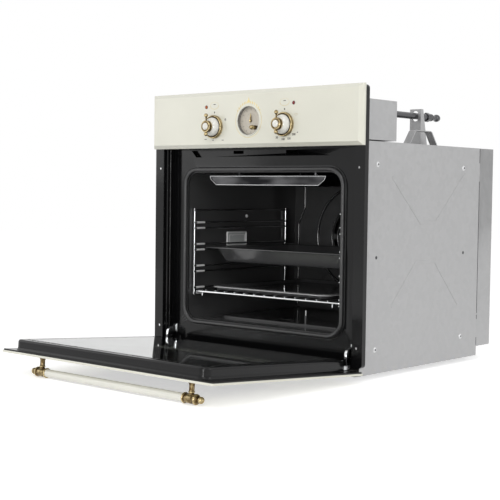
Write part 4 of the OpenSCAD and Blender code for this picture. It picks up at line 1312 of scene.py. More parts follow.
@dataclass
class Knob:
    """A porcelain knob in its bronze bezel, with a bronze ring and two ball arms."""

    name: str
    x: float
    body: str
    z: float = 513.0
    back: float = -32.0
    radius: float = 20.5
    nose: float = 9.6
    cap: float = 7.6
    ring_at: float = 14.5
    ring_h: float = 9.5
    ring_r: float = 12.8
    upper: float = 24.0
    lower: float = 16.8
    lean: float = 2.0

    def build(self) -> list[Piece]:
        """Makes the drum and the ring."""
        return [self.drum(), self.ring()]

    def drum(self) -> Piece:
        """White porcelain drum with a waisted shoulder, a nose inside the ring and a domed cap.

        Returns:
            The piece.
        """
        r, n, c, f = self.radius, self.nose, self.cap, self.ring_at + self.ring_h
        profile = [
            (0, 0), (r - 1.6, 0), (r - 0.7, 0.3), (r - 0.2, 1.0), (r, 2.0), (r - 0.1, 3.4), (r - 0.5, 5.0),
            (r - 1.3, 7.0), (r - 2.4, 8.7), (r - 3.9, 10.3), (r - 5.6, 11.7), (r - 7.6, 12.8), (n + 1.4, 13.8),
            (n + 0.5, 14.2), (n, 14.5), (n, f - 1.2), (c, f - 1.1), (c, f + 0.5), (c - 0.3, f + 1.1),
            (c - 1.1, f + 1.7), (c - 2.6, f + 2.3), (c - 4.6, f + 2.7), (0, f + 2.9)]
        drum = Form.turned(profile, 96).forward((self.x, self.back, self.z))
        return drum.piece(f"{self.name}_drum", Look.PORCELAIN, self.body, "porcelain", [self.name], 50.0)

    def arm(self, reach: float, side: float) -> Form:
        """A necked arm with a ball at its end, leaning a little forward.

        Args:
            reach: distance of the ball from the knob's axis
            side: 1 for the upper arm, -1 for the lower one

        Returns:
            The arm, about the knob's axis along Z.
        """
        root = self.ring_r - 1.4
        neck = [(2.6, root), (2.4, root + 1.2)]
        if reach > root + 8.0:
            neck += [(1.5, root + 2.2), (1.35, reach - 8.6), (2.1, reach - 8.0), (2.8, reach - 7.4),
                     (2.8, reach - 6.8), (2.0, reach - 6.2), (1.7, reach - 5.2)]
        ball = [(1.8, -4.4), (2.9, -3.4), (3.9, -2.1), (4.4, -0.8), (4.45, 0.4), (4.1, 1.8), (3.3, 3.0),
                (2.0, 4.0), (0.9, 4.4), (0, 4.5)]
        form = Form.turned(neck + [(radius, reach + up) for radius, up in ball], 40)
        lean = math.degrees(math.atan2(self.lean, reach))
        return form.turn(side * (lean - 90.0), "X").move((0, 0, self.ring_at + self.ring_h / 2))

    def ring(self) -> Piece:
        """Turned bronze ring with a lip round the cap, and an arm above and below.

        Returns:
            The piece.
        """
        n, c, r, h = self.nose, self.cap, self.ring_r, self.ring_h
        profile = [(n + 0.05, 0.3), (n + 1.0, 0), (r - 1.2, 0), (r - 0.3, 0.4), (r, 1.1), (r - 0.1, 1.9),
                   (r - 0.9, 2.5), (r - 1.0, h - 3.2), (r - 0.2, h - 2.4), (r, h - 1.5), (r - 0.2, h - 0.7),
                   (r - 0.9, h - 0.1), (r - 1.8, h), (c + 1.4, h - 0.9), (c + 0.7, h - 0.7), (c + 0.2, h - 0.4),
                   (c + 0.1, h - 1.0), (n + 0.05, h - 1.0)]
        form = Form.turned(profile, 96).move((0, 0, self.ring_at))
        form.add(self.arm(self.upper, 1.0), self.arm(self.lower, -1.0)).forward((self.x, self.back, self.z))
        return form.piece(f"{self.name}_ring", Look.BRONZE, self.body, "bronze", [f"{self.name}_ring"], 50.0)


@dataclass
class Bezels:
    """The two bronze bezels that the knobs stand in."""

    x: float = 100.0
    z: float = 513.0
    face: float = -26.4
    outer: float = 25.5
    inner: float = 21.8
    height: float = 8.0

    def pair(self, profile: Sequence[Pair]) -> Form:
        """The same turned ring round both knobs."""
        rings = (Form.turned(profile, 96).forward((x, self.face, self.z)) for x in (-self.x, self.x))
        return Form().add(*rings)

    def build(self) -> list[Piece]:
        """Turned rings with a rolled lip, and a dark ring on their inner slopes that is painted shade.

        Returns:
            The pieces.
        """
        o, i, h = self.outer, self.inner, self.height
        rings = self.pair([
            (5.0, 0.1), (o - 0.8, 0.1), (o, 0.8), (o, 2.0), (o - 0.6, 2.5), (o - 0.6, 3.2), (o - 0.1, 3.8),
            (o, 4.8), (o - 0.2, 6.2), (o - 0.8, 7.4), (o - 1.5, h), (o - 2.2, h - 0.1), (o - 2.6, h - 0.7),
            (i, h - 3.2), (i, 1.5), (5.0, 1.5), (5.0, 0.1)])
        # painted shade: a thin dark ring laid on the inner slopes
        shade_ring = self.pair([
            (i + 0.1, 1.6), (i + 0.1, h - 3.3), (o - 2.6, h - 0.8), (o - 2.5, h - 0.4), (o - 2.8, h - 0.3),
            (i - 0.3, h - 3.0), (i - 0.3, 1.6), (i + 0.1, 1.6)])
        return [
            rings.piece("bronze_bezels", Look.BRONZE, "oven", "bronze", ["knob_bezels"], 50.0),
            shade_ring.piece("bezel_painted_shade", Look.BEZEL_SHADE, "oven", "bronze", smooth=50.0),
        ]


@dataclass
class Clock:
    """Clock with its rim, dial, hands and setting knob."""

    z: float = 524.0
    face: float = -26.4
    radius: float = 30.2
    dial: float = -18.4
    setter_at: Pair = (20.0, 508.5)
    rib: Pair = (0.12, -0.35)

    def build(self) -> list[Piece]:
        """Makes the clock's pieces.

        Returns:
            The pieces.
        """
        return [
            *self.rim(),
            dressed("clock_dial", Look.DIAL, "dial", round_by=0.1, angle=60.0),
            dressed("hour_hand", Look.BRONZE, "bronze", "clock_hour", round_by=0.12),
            dressed("minute_hand", Look.BRONZE, "bronze", "clock_minute", round_by=0.12),
            self.hub(),
            *self.setter(),
        ]

    def rim(self) -> list[Piece]:
        """Broad cream rolled rim with a bright bead at its inner edge, and the tube behind it.

        Returns:
            The tube and the rim.
        """
        r, at = self.radius, (0, self.face + 12, self.z)
        rim = Form.turned([(r + 0.5, 11.8), (r + 3.3, 12.0), (r + 3.2, 12.6), (r + 2.6, 13.2), (r + 1.8, 13.5),
                           (r + 1.0, 13.4), (r + 0.5, 13.0), (r + 0.5, 11.8)], 128).forward(at)
        tube = Form.turned([(r, 0), (r + 1.2, 0), (r + 1.2, 12.0), (r + 0.7, 12.9), (r + 0.3, 13.1), (r, 12.7),
                            (r, 0)], 128).forward(at)
        return [
            tube.piece("clock_tube", Look.PLATED, "oven", "bright_steel", ["clock_bezel"], 50.0),
            rim.piece("clock_rim", Look.IVORY, "oven", "ivory_enamel", smooth=50.0),
        ]

    def hub(self) -> Piece:
        """Small turned cap over the hands."""
        cap = Form.turned([(0, 0), (1.9, 0), (2.0, 0.35), (1.5, 0.9), (0.8, 1.2), (0, 1.3)], 32)
        return cap.forward((0, self.dial - 3.7, self.z)).piece(
            "hand_cap", Look.BRONZE, "clock_minute", "bronze", smooth=50.0)

    def setter(self) -> list[Piece]:
        """Setting knob: black foot, ribbed dark barrel and a turned brass nose.

        Returns:
            The three pieces.
        """
        foot = Form.turned([
            (0, -10), (2, -10), (2, 1.2), (3.5, 1.2), (4, 1.6), (4, 4.8), (3.6, 5.3), (0, 5.3)], 48)
        barrel = Form.turned([(0, 5.2), (4.2, 5.2), (4.6, 5.8), (4.6, 14.0), (4.2, 14.6), (0, 14.8)], 30)
        ribs = [f for f in barrel.bm.faces if f.calc_area() > 3.0 and abs(f.normal.z) < 0.1][::2]
        bmesh.ops.inset_individual(barrel.bm, faces=ribs, thickness=self.rib[0], depth=self.rib[1])
        nose = Form.turned([
            (0, 14.6), (3.6, 14.6), (3.6, 15.4), (4.2, 16.0), (4.9, 17.2), (5.0, 19.2), (4.8, 21.0), (4.3, 23.0),
            (3.3, 24.7), (2.0, 25.6), (0.8, 25.95), (0, 26)], 48)
        at = (self.setter_at[0], self.dial, self.setter_at[1])
        rows = (
            ("foot", foot, Look.PLASTIC, "dark_plastic", ["setting_knob"], 40.0),
            ("barrel", barrel, Look.AGED, "bronze", [], 30.0),
            ("nose", nose, Look.BRONZE, "bronze", [], 50.0),
        )
        return [form.forward(at).piece(f"setting_knob_{name}", look, "clock_setter", *rest)
                for name, form, look, *rest in rows]


@dataclass
class PilotLamps:
    """Orange and red pilot lamps."""

    x: float = 124.4
    z: float = 557.0
    face: float = -26.4
    profile: tuple[Pair, ...] = ((0, -10), (3.1, -10), (3.1, 0.05), (3.9, 0.05), (4, 0.3), (3.9, 0.6), (3.4, 1.0),
                                 (2.6, 1.35), (1.4, 1.55), (0, 1.6))

    def build(self) -> list[Piece]:
        """Makes the two domed lenses."""
        return [self.lens(-self.x, "left_pilot_lamp", Look.ORANGE, "orange_lens"),
                self.lens(self.x, "right_pilot_lamp", Look.RED, "red_lens")]

    def lens(self, x: float, node: str, look: Look, slot: str) -> Piece:
        """One lens for a CAD lamp."""
        form = Form.turned(self.profile, 48).forward((x, self.face, self.z))
        return form.piece(f"{node}_lens", look, "oven", slot, [node], 50.0)


@dataclass
class Cavity:
    """The oven's inside: liner, racks, grill, fan, lamp and sole plate."""

    wire: float = 4.0
    rung_x: float = 210.6
    front: float = 32.0
    rear: float = 360.0
    highlight_sleeve_end: float = 62.0
    first: float = 136.7
    pitch: float = 50.0
    levels: int = 4
    gap: float = 13.0
    high: float = 328.0
    peg: float = 5.2
    baffle: Pair = (378.6, 265.0)
    baffle_edge: tuple[Pair, ...] = ((-185, 92), (-185, 294.0), (-166, 333.0), (-166, 402))
    hoops: tuple[Pair, ...] = ((123.5, 3.2), (79.5, 2.0), (62.0, 2.0), (45.0, 2.0))
    lip: float = 31.5
    lip_ends: tuple[Pair, ...] = ((-166, 406.4), (-163, 399), (-147, 387.0))
    spark: Point = (57.0, 109.0, 111.8)
    spark_foot: float = 90.0
    wall_screw_at: Point = (-219.2, 218.0, 313.0)

    def build(self) -> list[Piece]:
        """Makes the cavity's pieces.

        Returns:
            The pieces.
        """
        return [
            dressed("cavity", Look.OVEN, "black_enamel", round_by=0.3),
            dressed("grill_reflector", Look.BLUED, "bright_steel", round_by=0.9, segments=3),
            dressed("fan_baffle", Look.OVEN, "black_enamel", round_by=0.4),
            dressed("sole_plate", Look.OVEN, "black_enamel", round_by=0.9, segments=3),
            dressed("sensing_bulb", Look.STEEL, "bright_steel", round_by=0.8, angle=60.0, segments=3),
            dressed("igniter", Look.OVEN, "porcelain", round_by=0.3, angle=60.0),
            dressed("lamp_window", Look.CLEAR, "clear_glass", round_by=0.6, segments=3),
            self.lamp_frame(), self.baffle_rolls(), self.reflector_rolls(), self.wall_screws(), self.electrode(),
            *self.racks(),
        ]

    def baffle_rolls(self) -> Piece:
        """Rolled edges of the fan baffle: its outline, the ring round the guard and three guard hoops.

        Returns:
            The piece.
        """
        y, z = self.baffle
        form = Form.along([(x, y, height) for x, height in self.baffle_edge], 5.0).both()
        for radius, tube in self.hoops:
            ring = [(radius + out, up) for out, up in polar(tube, range(0, 361, 30))]
            form.add(Form.turned(ring, 96).forward((0, y - 0.6, z)))
        return form.piece("baffle_rolls", Look.ROLL, "oven", "black_enamel", smooth=60.0)

    def reflector_rolls(self) -> Piece:
        """Bright rolled edges of the grill reflector.

        Returns:
            The piece.
        """
        ends = [(x, self.lip, z) for x, z in self.lip_ends]
        form = Form()
        for (x, y, z), diameter in ((ends[0], 2.0), (ends[-1], 1.8)):
            form.add(Form.along([(x, y, z), (-x, y, z)], diameter))
        form.add(Form.along(ends, 1.2).both())
        return form.piece("reflector_rolls", Look.SATIN, "oven", "bright_steel", smooth=60.0)

    def electrode(self) -> Piece:
        """Bare metal end of the igniter.

        Returns:
            The piece.
        """
        x, y, top = self.spark
        foot = (x, y, self.spark_foot)
        rod = Form.rod(foot, (x, y, top), 3.0, 20, 1.2).add(Form.rod(foot, (x, y, foot[2] + 3.0), 5.0, 20, 0.8))
        return rod.piece("igniter_electrode", Look.GLINT, "oven", "bright_steel", smooth=60.0)

    def wall_screws(self) -> Piece:
        """The rack's fixing screw in each side wall, plain white as a painted highlight."""
        head = Form.turned([(0, 0), (4.0, 0), (4.2, 0.5), (3.6, 1.6), (2.2, 2.2), (0, 2.4)], 24).turn(90.0, "Y")
        return head.move(self.wall_screw_at).both().piece("wall_screws", Look.HIGHLIGHT_WHITE, "oven", "bright_steel")

    def rungs(self) -> list[float]:
        """Heights of the paired rungs."""
        return [self.first + self.pitch * k + up for k in range(self.levels) for up in (0.0, self.gap)]

    def rack(self) -> Form:
        """The right side rack: two posts, pairs of rungs and their wall pegs.

        Returns:
            Its shape.
        """
        form, post = Form(), self.rung_x + 0.8 * self.wire
        for y in (self.front, self.rear):
            form.add(Form.rod((post, y, self.first - 4), (post, y, self.high + 4), self.wire, 20, 1.0))
            for z in (self.first + self.gap + 4, self.high - 4):
                form.add(Form.rod((post, y, z), (post + self.peg, y, z), self.wire - 1.0, 16))
        for z in [*self.rungs(), self.high]:
            ends = (self.rung_x, self.front - 7, z), (self.rung_x, self.rear + 5, z)
            form.add(Form.rod(*ends, self.wire, 20, 1.3))
        return form

    def racks(self) -> list[Piece]:
        """Both side racks, with white sleeves on the front of their rungs as painted highlights.

        Returns:
            The white sleeves, painted highlights, and the racks.
        """
        right, highlight_sleeves = self.rack(), Form()
        left = right.mirrored()
        # painted highlight: white sleeves where the rungs' fronts shine
        for z in self.rungs():
            ends = (self.rung_x, self.front + 2.5, z), (self.rung_x, self.highlight_sleeve_end, z)
            highlight_sleeves.add(Form.rod(*ends, self.wire + 0.7, 20, 0.9))
        return [
            highlight_sleeves.both().piece("rack_sleeves_painted_highlight", Look.HIGHLIGHT_WHITE, "oven", "chrome"),
            right.piece("right_rack_wires", Look.CHROME, "oven", "chrome", ["right_rack"]),
            left.piece("left_rack_wires", Look.CHROME, "oven", "chrome", ["left_rack"]),
        ]

    def lamp_frame(self) -> Piece:
        """Pressed frame round the lamp's window, plain white as a painted highlight.

        Returns:
            The piece.
        """
        low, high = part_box("lamp_window")
        y0, y1, z0, z1 = (v / MM for v in (low.y, high.y, low.z, high.z))
        w, h = y1 - y0, z1 - z0
        outer = ((-1, 3.4, 0), (-0.4, 3.2, 2.4), (1.2, 2.8, 3.2), (4.4, 2.2, 2.9), (5.6, 1.8, 1.9))
        inner = ((13, 2, 1.8), (13.6, 1.9, 2.7), (17, 1.4, 2.5), (17.6, 1.2, 1.8))
        ring = Form()
        for rows in (outer, inner):
            ring.add(Form.loops([(w - less, h - less, corner, level) for less, corner, level in rows]))
        ring.turn(90.0, "X").turn(90.0, "Z").move((high.x / MM - 2.0, (y0 + y1) / 2, (z0 + z1) / 2))
        return ring.piece("lamp_window_frame", Look.HIGHLIGHT_WHITE, "oven", "bright_steel")


@dataclass
class DeepTray:
    """Deep enamelled tray with a wide rim, a rolled lip and round corners."""

    wall: float = 1.2
    rim: float = 239.0
    weld: float = 0.6
    middles: Point = (215.0, 214.8, 214.5)
    shell: tuple[Row, ...] = ((330, 222, 12, -31.0), (352, 246, 20, -30.6), (361, 257, 24, -27.5),
                              (366, 262, 25, -23.0), (380, 275, 26, -9.0), (387, 281, 27, -2.0),
                              (389, 283, 28, 0.2), (393, 287, 29, 1.2))
    edge: tuple[Row, ...] = ((393, 287, 29, 1.2), (400, 297, 22, 1.2))
    brim: tuple[Row, ...] = ((400, 297, 22, 1.2), (418, 311, 15, 1.25), (420.6, 313.6, 14.4, 1.8),
                             (421.6, 314.6, 14.2, 3.0), (422.0, 315, 14, 4.0))

    def build(self) -> list[Piece]:
        """Makes the tray.

        Returns:
            The piece.
        """
        body = Form()
        for rows, middle, floor in zip((self.shell, self.edge, self.brim), self.middles, (True, False, False)):
            stack = [(width, depth, corner, self.rim + up) for width, depth, corner, up in rows]
            body.add(Form.loops(stack, 10, (floor, False)).move((0, middle, 0)))
        bmesh.ops.remove_doubles(body.bm, verts=body.bm.verts, dist=self.weld)
        made = body.outward().piece(
            "deep_tray_pressed", Look.TRAY, "roasting_tray", "black_enamel", ["deep_tray"], 40.0)
        return [walled(made, self.wall)]


@dataclass
class FlatTray:
    """Flat baking tray with a roll along its rim in plain white as a painted highlight."""

    wall: float = 1.2
    roll: float = 1.7
    inset: float = 1.75
    corner: float = 22.5

    def build(self) -> list[Piece]:
        """Makes the tray and its rim.

        Returns:
            The two pieces.
        """
        low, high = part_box("flat_tray")
        width, depth = (high.x - low.x) / MM, (high.y - low.y) / MM
        z0, z1 = low.z / MM, high.z / MM
        pan = ((30, 14, z0 + self.wall), (18, 16, z0 + 1.6), (15, 17, z0 + 3.4), (13, 18, z1 - 1.6),
               (9, 20, z1 - 0.3), (4, 21, z1), (1, 22, z1 - 0.5), (0, self.corner, z1 - 1.6))
        pan_rows = [(width - less, depth - less, corner, level) for less, corner, level in pan]
        rim_rows = []
        for out, up in polar(self.roll, range(0, 361, 45)):
            out -= self.inset
            rim_rows.append((width + 2 * out, depth + 2 * out, self.corner + out, z1 - self.inset + up))
        tray, rim = (Form.loops(rows, 10, (floor, False)).move((0, (low.y + high.y) / 2 / MM, 0))
                     for rows, floor in ((pan_rows, True), (rim_rows, False)))
        made = tray.piece("flat_tray_pressed", Look.TRAY, "baking_tray", "black_enamel", ["flat_tray"], 40.0)
        return [
            walled(made, self.wall),
            # plain white on the rim: a painted highlight
            rim.piece("flat_tray_rim_painted_highlight", Look.HIGHLIGHT_WHITE, "baking_tray", "bright_steel", smooth=60.0),
        ]


@dataclass
class Shelf:
    """Wire shelf: bent frame, long wires, a cross bar and two stops."""

    half: float = 208.95
    front: float = 33.0
    rear: float = 372.0
    z: float = 141.5
    bend: float = 8.0
    wire: float = 5.0
    cross: float = 3.0
    wires: int = 13
    span: float = 352.0
    bar_y: float = 200.0
    stop_x: float = 188.0
    stop_h: float = 10.0

    def build(self) -> list[Piece]:
        """Makes the shelf.

        Returns:
            The piece.
        """
        half, front, rear, z, bend, wire = self.half, self.front, self.rear, self.z, self.bend, self.wire
        form = Form()
        for y in (front, rear):
            form.add(Form.rod((-half + bend, y, z), (half - bend, y, z), wire, 24))
        side = Form.rod((half, front + bend, z), (half, rear - bend, z), wire, 24)
        side.add(Form.bent((half - bend, front + bend, z), bend, wire, -90.0, 24),
                 Form.bent((half - bend, rear - bend, z), bend, wire, 0.0, 24),
                 Form.rod((self.stop_x, front, z), (self.stop_x, front, z - self.stop_h), self.cross, 16, 1.0))
        form.add(side.both())
        level = z + (wire + self.cross) / 2 - 0.5
        for k in range(self.wires):
            x = self.span * k / (self.wires - 1) - self.span / 2
            form.add(Form.rod((x, front - 2, level), (x, rear + 2, level), self.cross, 16, 1.0))
        form.add(Form.rod((-half, self.bar_y, z + 0.4), (half, self.bar_y, z + 0.4), self.cross + 1, 16))
        return [form.piece("wire_shelf_rods", Look.CHROME, "shelf", "chrome", ["wire_shelf"])]


@dataclass
class Door:
    """The drop-down door, open, with its liner, glass, hinges and handle."""

    open_by: float = 86.0
    hinge: Pair = (-6.5, 20.5)
    hinge_t: float = 14.7
    hinge_s: float = 2.5
    depth: float = 29.0
    skin: float = 4.5
    flange: float = 3.0
    leaf: Pair = (592.0, 439.0)
    leaf_middle: float = 221.5
    liner: Pair = (540.0, 412.0)
    middle: float = 226.0
    glass: Pair = (500.0, 378.0)
    frame: float = 12.0
    handle_t: float = -34.0
    handle_s: float = 404.0
    bar: float = 16.5
    bar_half: float = 195.0
    post_x: float = 212.0
    pocket: Point = (251.6, 263.0, 50.0)
    pin: float = 6.0
    arm_x: float = 253.8
    arm: float = 6.4
    arm_edge: tuple[Pair, ...] = ((2, 38), (12, 45), (40, 47), (40, 60.5), (13.5, 60.5), (-5, 55), (-9, 52.6),
                                  (-11.4, 48.6), (-12.5, 42), (-12.5, 38))
    root_edge: tuple[Pair, ...] = ((-0.5, 30), (2, 38), (-12.5, 38))
    collar: tuple[Point, Point] = ((250.6, 13.8, 43.0), (263.4, 17.4, 63.6))
    foot: tuple[Point, Point] = ((248.0, 18.75, 30.0), (266.0, 20.2, 80.0))
    pin_ends: Pair = (251.7, 262.3)

    def build(self) -> list[Piece]:
        """Makes the door's pieces.

        Returns:
            The pieces.
        """
        return [
            dressed("door_panel", Look.IVORY, "ivory_enamel", "door", round_by=1.4, segments=4, angle=40.0),
            dressed("door_window", Look.MIRROR, "dark_glass", "door", round_by=0.5),
            self.liner_pan(),
            dressed("door_inner_glass", Look.PANE, "dark_glass", "door", round_by=0.6, segments=3, angle=50.0),
            dressed("hinge_bodies", Look.STEEL, "plated_steel", "door", round_by=0.25),
            *self.hinge_arms(),
            self.handle_bar(),
            self.handle_ends(),
        ]

    def place(self, form: Form) -> Form:
        """Moves a shape from the door's own axes, X, depth and height, to the open door."""
        form.move((0, -self.hinge_t, -self.hinge_s)).turn(self.open_by, "X")
        return form.move((0, *self.hinge))

    def liner_pan(self) -> Piece:
        """Black pan with a flange on the ivory panel, rolled edges and a step down to the glass.

        Returns:
            The piece.
        """
        d, s = self.depth, self.skin + self.flange
        outer = (
            (9, 7.6, 20, s - 0.6), (6.4, 5.4, 19, s + 0.1), (3.4, 3.2, 17.6, s + 0.9), (1.4, 1.4, 16.8, s + 2.4),
            (0.4, 0.4, 16.3, s + 4.6), (0, 0, 16, s + 7.0), (0, 0, 16, d - 5.0), (-0.6, -0.6, 15.8, d - 3.2),
            (-2.2, -2.2, 15.2, d - 1.5), (-4.6, -4.6, 14.6, d - 0.4), (-7.4, -7.4, 14, d))
        step = (
            (5.4, 8.2, d), (3.8, 7.6, d - 0.3), (2.6, 7.0, d - 1.1), (2.0, 6.6, d - 2.4), (1.6, 6.4, d - 2.9),
            (-25, 6, d - 4.1))
        brim = ((0, 3, self.skin), (0, 3, s - 0.8), (0.5, 2.8, s - 0.25), (1.6, 2.4, s))
        (w, h), (gw, gh), (fw, fh) = self.liner, self.glass, self.leaf
        rows = [(w + across, h + up, corner, level) for across, up, corner, level in outer]
        rows += [(gw + more, gh + more, corner, level) for more, corner, level in step]
        pan = Form.loops(rows).move((0, self.middle, 0))
        rims = [(fw - less, fh - less, corner, level) for less, corner, level in brim]
        flange = Form.loops(rims, 4, (True, True)).move((0, self.leaf_middle, 0))
        half, reach = w / 2 - self.frame, h / 2 - self.frame
        low, high = self.middle - reach, self.middle + reach
        flange.cut_out(across(-half, half) + upright(low, high),
                       lambda middle: abs(middle.x) < half and low < middle.y < high)
        self.cut_pockets(pan.add(flange))
        pan.turn(90.0, "X").scale((1, -1, 1)).outward()
        return self.place(pan).piece("door_liner_pan", Look.PAN, "door", "black_enamel", ["door_liner"], 40.0)

    def cut_pockets(self, form: Form) -> None:
        """Opens the pan for the two hinges and gives each opening its walls.

        Args:
            form: the pan, with height along Y and depth along Z
        """
        inner, outer, top = self.pocket
        floor, d, foot = self.skin + self.flange - 2.0, self.depth, self.middle - self.liner[1] / 2
        form.cut_out(across(-inner, -outer, inner, outer) + upright(top),
                     lambda middle: inner < abs(middle.x) < outer and middle.y < top)
        cheek = [
            (foot, floor), (foot, d - 5.0), (foot + 0.3, d - 3.2), (foot + 1.1, d - 1.5), (foot + 2.3, d - 0.4),
            (foot + 3.7, d), (top, d), (top, floor)]
        for side in (-1, 1):
            for x in (inner, outer):
                form.bm.faces.new([form.bm.verts.new((side * x, s, t)) for s, t in cheek])
            end = [(inner, floor), (outer, floor), (outer, d), (inner, d)]
            form.bm.faces.new([form.bm.verts.new((side * x, top, t)) for x, t in end])

    def hinge_arms(self) -> list[Piece]:
        """Bright hinge arms with rolled fronts, their collars on the front plate, feet and pins, with the roots
        and the pins in dark bare steel as painted shade.

        Returns:
            The arms and their roots.
        """
        y, z = self.hinge
        under = [(y + out, z + up) for out, up in polar(self.pin, range(180, 361, 15))]
        # the root is the same steel as the arm, made dark as painted shade
        root = Form.plate([*under, *self.root_edge], self.arm)
        arm = Form.plate(self.arm_edge, self.arm).bevel(1.5, 4, 30.0)
        for form in (root, arm):
            form.turn(90.0, "X").turn(90.0, "Z").move((self.arm_x, 0, 0))
        arm.add(Form.block(*self.collar).bevel(1.6, 4), Form.block(*self.foot).bevel(0.4))
        start, end = ((x, y, z) for x in self.pin_ends)
        root.bevel(0.8, 3, 30.0).add(Form.rod(start, end, self.pin, 24, 0.5))
        return [
            form.both().piece(name, look, "oven", "bright_steel", ["hinge_arms"], 40.0)
            for name, form, look in (("hinge_arms_rolled", arm, Look.CHROME), ("hinge_arm_roots_painted_shade", root, Look.PIPE))
        ]

    def handle_bar(self) -> Piece:
        """Ivory rod of the handle, in a brighter copy of the ivory as painted light.

        Returns:
            The piece.
        """
        r, half = self.bar / 2, self.bar_half
        rod = Form.turned([
            (0, -half), (r - 0.2, -half), (r, -half + 0.3), (r, half - 0.3), (r - 0.2, half), (0, half)])
        rod.turn(90.0, "Y").move((0, self.handle_t, self.handle_s))
        return self.place(rod).piece("handle_rod", Look.LIGHTENED_IVORY, "door", "ivory_enamel", ["handle_bar"], 50.0)

    def handle_ends(self) -> Piece:
        """Turned bronze ends and posts of the handle.

        Returns:
            The piece.
        """
        r = self.bar / 2
        end = Form.turned([
            (0, 0), (r + 1.2, 0), (r + 1.9, 0.5), (r + 2.2, 1.5), (r + 1.9, 2.5), (r + 1.0, 3.2), (r + 0.4, 4.2),
            (r + 0.5, 8), (r + 0.8, 12), (r + 0.9, 17), (r + 0.8, 22), (r + 0.5, 25.6), (r + 1.0, 27.0),
            (r + 1.8, 27.8), (r + 2.0, 29.4), (r + 1.8, 31), (r + 0.6, 32.2), (r - 1.6, 33.6), (5.4, 35.0),
            (4.9, 36.2), (5.6, 37.6), (6.5, 39.4), (6.7, 41.4), (6.3, 43.4), (5.2, 45.2), (3.6, 46.8), (1.8, 47.7),
            (0, 48)])
        post = Form.turned([
            (0, 0), (9.0, 0), (9.5, 0.5), (9.5, 3.2), (9.1, 3.9), (7.8, 4.4), (7.0, 5.4), (6.2, 6.8), (5.3, 8.4),
            (5.1, 11.0), (5.1, 19.0), (5.6, 20.6), (6.2, 21.4), (6.2, 22.4), (5.6, 23.2), (5.2, 24.4),
            (5.2, 32.0)], 48)
        end.turn(90.0, "Y").move((self.bar_half, self.handle_t, self.handle_s))
        end.add(post.turn(90.0, "X").move((self.post_x, 0, self.handle_s)))
        ends = self.place(end.both())
        return ends.piece("handle_turned_ends", Look.BRONZE, "door", "bronze", ["handle_ends"], 50.0)


@dataclass
class Inside:
    """The parts under the casing, which keep their CAD shapes."""

    looks: dict[str, Look] = field(default_factory=lambda: {
        "insulation": Look.WOOL, "oven_burner": Look.PLATED, "grill_burner": Look.STEEL, "fan_wheel": Look.PLATED,
        "fan_motor": Look.VALVE, "oven_lamp": Look.PORCELAIN, "function_switch": Look.PLASTIC,
        "thermostat_valve": Look.VALVE, "thermostat_plunger": Look.BRASS, "clock_movement": Look.PLASTIC,
        "terminal_block": Look.PLASTIC,
    })

    def build(self) -> list[Piece]:
        """Gives each of them its finish.

        Returns:
            The CAD's own objects.
        """
        for node, look in self.looks.items():
            materials = frame["nodes"][node].data.materials
            materials.clear()
            materials.append(look.material)
        return [frame["nodes"][node] for node in self.looks]


# Set


@dataclass(frozen=True)
class Lamp:
    """One soft area light: place and aim in metres, width and height, power in watts."""

    name: str
    at: Point
    aim: Point
    size: Pair
    power: float

    def build(self) -> None:
        """Puts the light in the scene."""
        data = bpy.data.lights.new(self.name, "AREA")
        data.shape = "RECTANGLE"
        data.size, data.size_y = self.size
        data.energy = self.power
        made = placed(self.name, data)
        made.location = self.at
        made.rotation_euler = (Vector(self.aim) - Vector(self.at)).to_track_quat("-Z", "Y").to_euler()


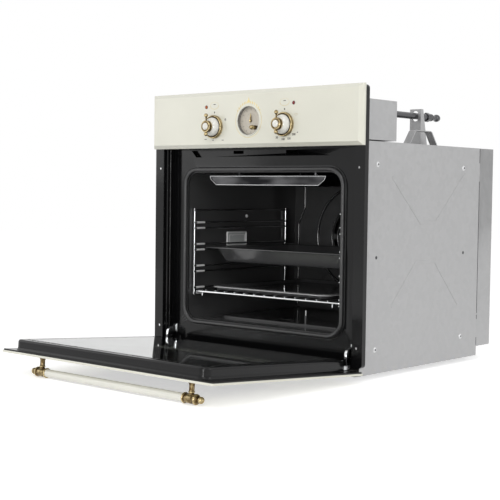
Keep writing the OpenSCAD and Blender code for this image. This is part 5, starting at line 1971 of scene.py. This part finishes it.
@dataclass
class Studio:
    """Camera, pale floor, soft lights and white surroundings."""

    at: Point = (1.64854, -1.88349, 0.37078)
    yaw: float = 41.44
    pitch: float = -2.86
    roll: float = 0.72
    sensor: float = 36.0
    focal_px: float = 1155.56
    photo: int = 500
    floor: float = -0.0110
    floor_size: float = 7.0
    floor_tone: Colour = (0.90, 0.90, 0.90)
    lift: float = 0.52
    white: Colour = (1.0, 1.0, 1.0)
    dim: float = 0.56
    lamps: tuple[Lamp, ...] = (
        Lamp("key", (1.4, -2.6, 2.6), (0.0, 0.0, 0.25), (1.8, 1.2), 24.0),
        Lamp("fill", (-2.6, -1.8, 1.2), (0.0, 0.0, 0.25), (1.6, 1.6), 8.0),
        Lamp("side", (2.8, 0.6, 1.6), (0.2, 0.2, 0.25), (1.4, 1.8), 16.0),
        Lamp("front", (0.9, -2.9, 0.4), (0.0, 0.1, 0.2), (0.7, 0.7), 15.0),
    )

    def build(self) -> None:
        """Sets up everything but the oven, the camera first."""
        scene = bpy.context.scene
        scene.view_settings.view_transform = "Standard"
        self.camera()
        self.ground()
        self.world()
        for lamp in self.lamps:
            lamp.build()

    def camera(self) -> None:
        """The camera at the photograph's place and angle."""
        yaw, pitch, roll = (math.radians(v) for v in (self.yaw, self.pitch, self.roll))
        ahead = Vector((-math.sin(yaw) * math.cos(pitch), math.cos(yaw) * math.cos(pitch), math.sin(pitch)))
        right = Vector((math.cos(yaw), math.sin(yaw), 0.0))
        up = right.cross(ahead)
        across = right * math.cos(roll) + up * math.sin(roll)
        upward = up * math.cos(roll) - right * math.sin(roll)
        data = bpy.data.cameras.new("camera")
        data.sensor_fit = "HORIZONTAL"
        data.sensor_width = self.sensor
        data.lens = self.focal_px * self.sensor / self.photo
        data.clip_end = FAR
        made = placed("camera", data)
        made.matrix_world = Matrix.Translation(self.at) @ Matrix((across, upward, -ahead)).transposed().to_4x4()
        bpy.context.scene.camera = made

    def seen(self, net: Net) -> Value:
        """1 for what the camera sees, also in a mirror or through a pane, else 0.

        Args:
            net: the nodes that it is for

        Returns:
            The value.
        """
        camera = net.node("ShaderNodeLightPath", out="Is Camera Ray")
        return (camera + camera.beside("Is Transmission Ray") + camera.beside("Is Glossy Ray")).at_most_one()

    def ground(self) -> None:
        """A pale floor that keeps the oven's shadow and meets the white background."""
        form = Form()
        bmesh.ops.create_grid(form.bm, x_segments=1, y_segments=1, size=self.floor_size)
        mesh = bpy.data.meshes.new("floor")
        form.bm.to_mesh(mesh)
        floor = placed("floor", mesh)
        floor.location.z = self.floor
        paint = bpy.data.materials.new("pale_floor")
        net = Net(paint)
        diffuse = net.node("ShaderNodeBsdfDiffuse", None, {"Color": self.floor_tone})
        glow = net.node("ShaderNodeEmission", None, {"Color": self.white, "Strength": self.seen(net) * self.lift})
        both = net.node("ShaderNodeAddShader", None, {0: diffuse, 1: glow})
        net.node("ShaderNodeOutputMaterial", None, {"Surface": both}, None)
        mesh.materials.append(paint)

    def world(self) -> None:
        """White surroundings for the camera, and a softer even light for the oven."""
        made = bpy.data.worlds.new("surroundings")
        bpy.context.scene.world = made
        net = Net(made)
        soft, full = (net.node("ShaderNodeBackground", None, {"Color": self.white, "Strength": strength})
                      for strength in (self.dim, 1.0))
        mixed = net.node("ShaderNodeMixShader", None, {0: self.seen(net), 1: soft, 2: full})
        net.node("ShaderNodeOutputWorld", None, {"Surface": mixed}, None)


def main() -> None:
    """Builds the set and the oven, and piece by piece."""
    logging.basicConfig(level=logging.INFO, format="%(name)s: %(message)s")
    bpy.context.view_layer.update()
    Studio().build()
    sections = [
        Casing(), GasLine(), Front(), Fascia(), Bezels(), Knob("function_knob", -100.0, "function_control"),
        Knob("thermostat_knob", 100.0, "thermostat_control"), Clock(), PilotLamps(), Cavity(), DeepTray(), Shelf(),
        FlatTray(), Door(), Inside(),
    ]
    for section in sections:
        for made in section.build():
            LOG.info("%s: %s, %d faces", type(section).__name__, made.name, len(made.data.polygons))


if __name__ == "__main__":
    main()
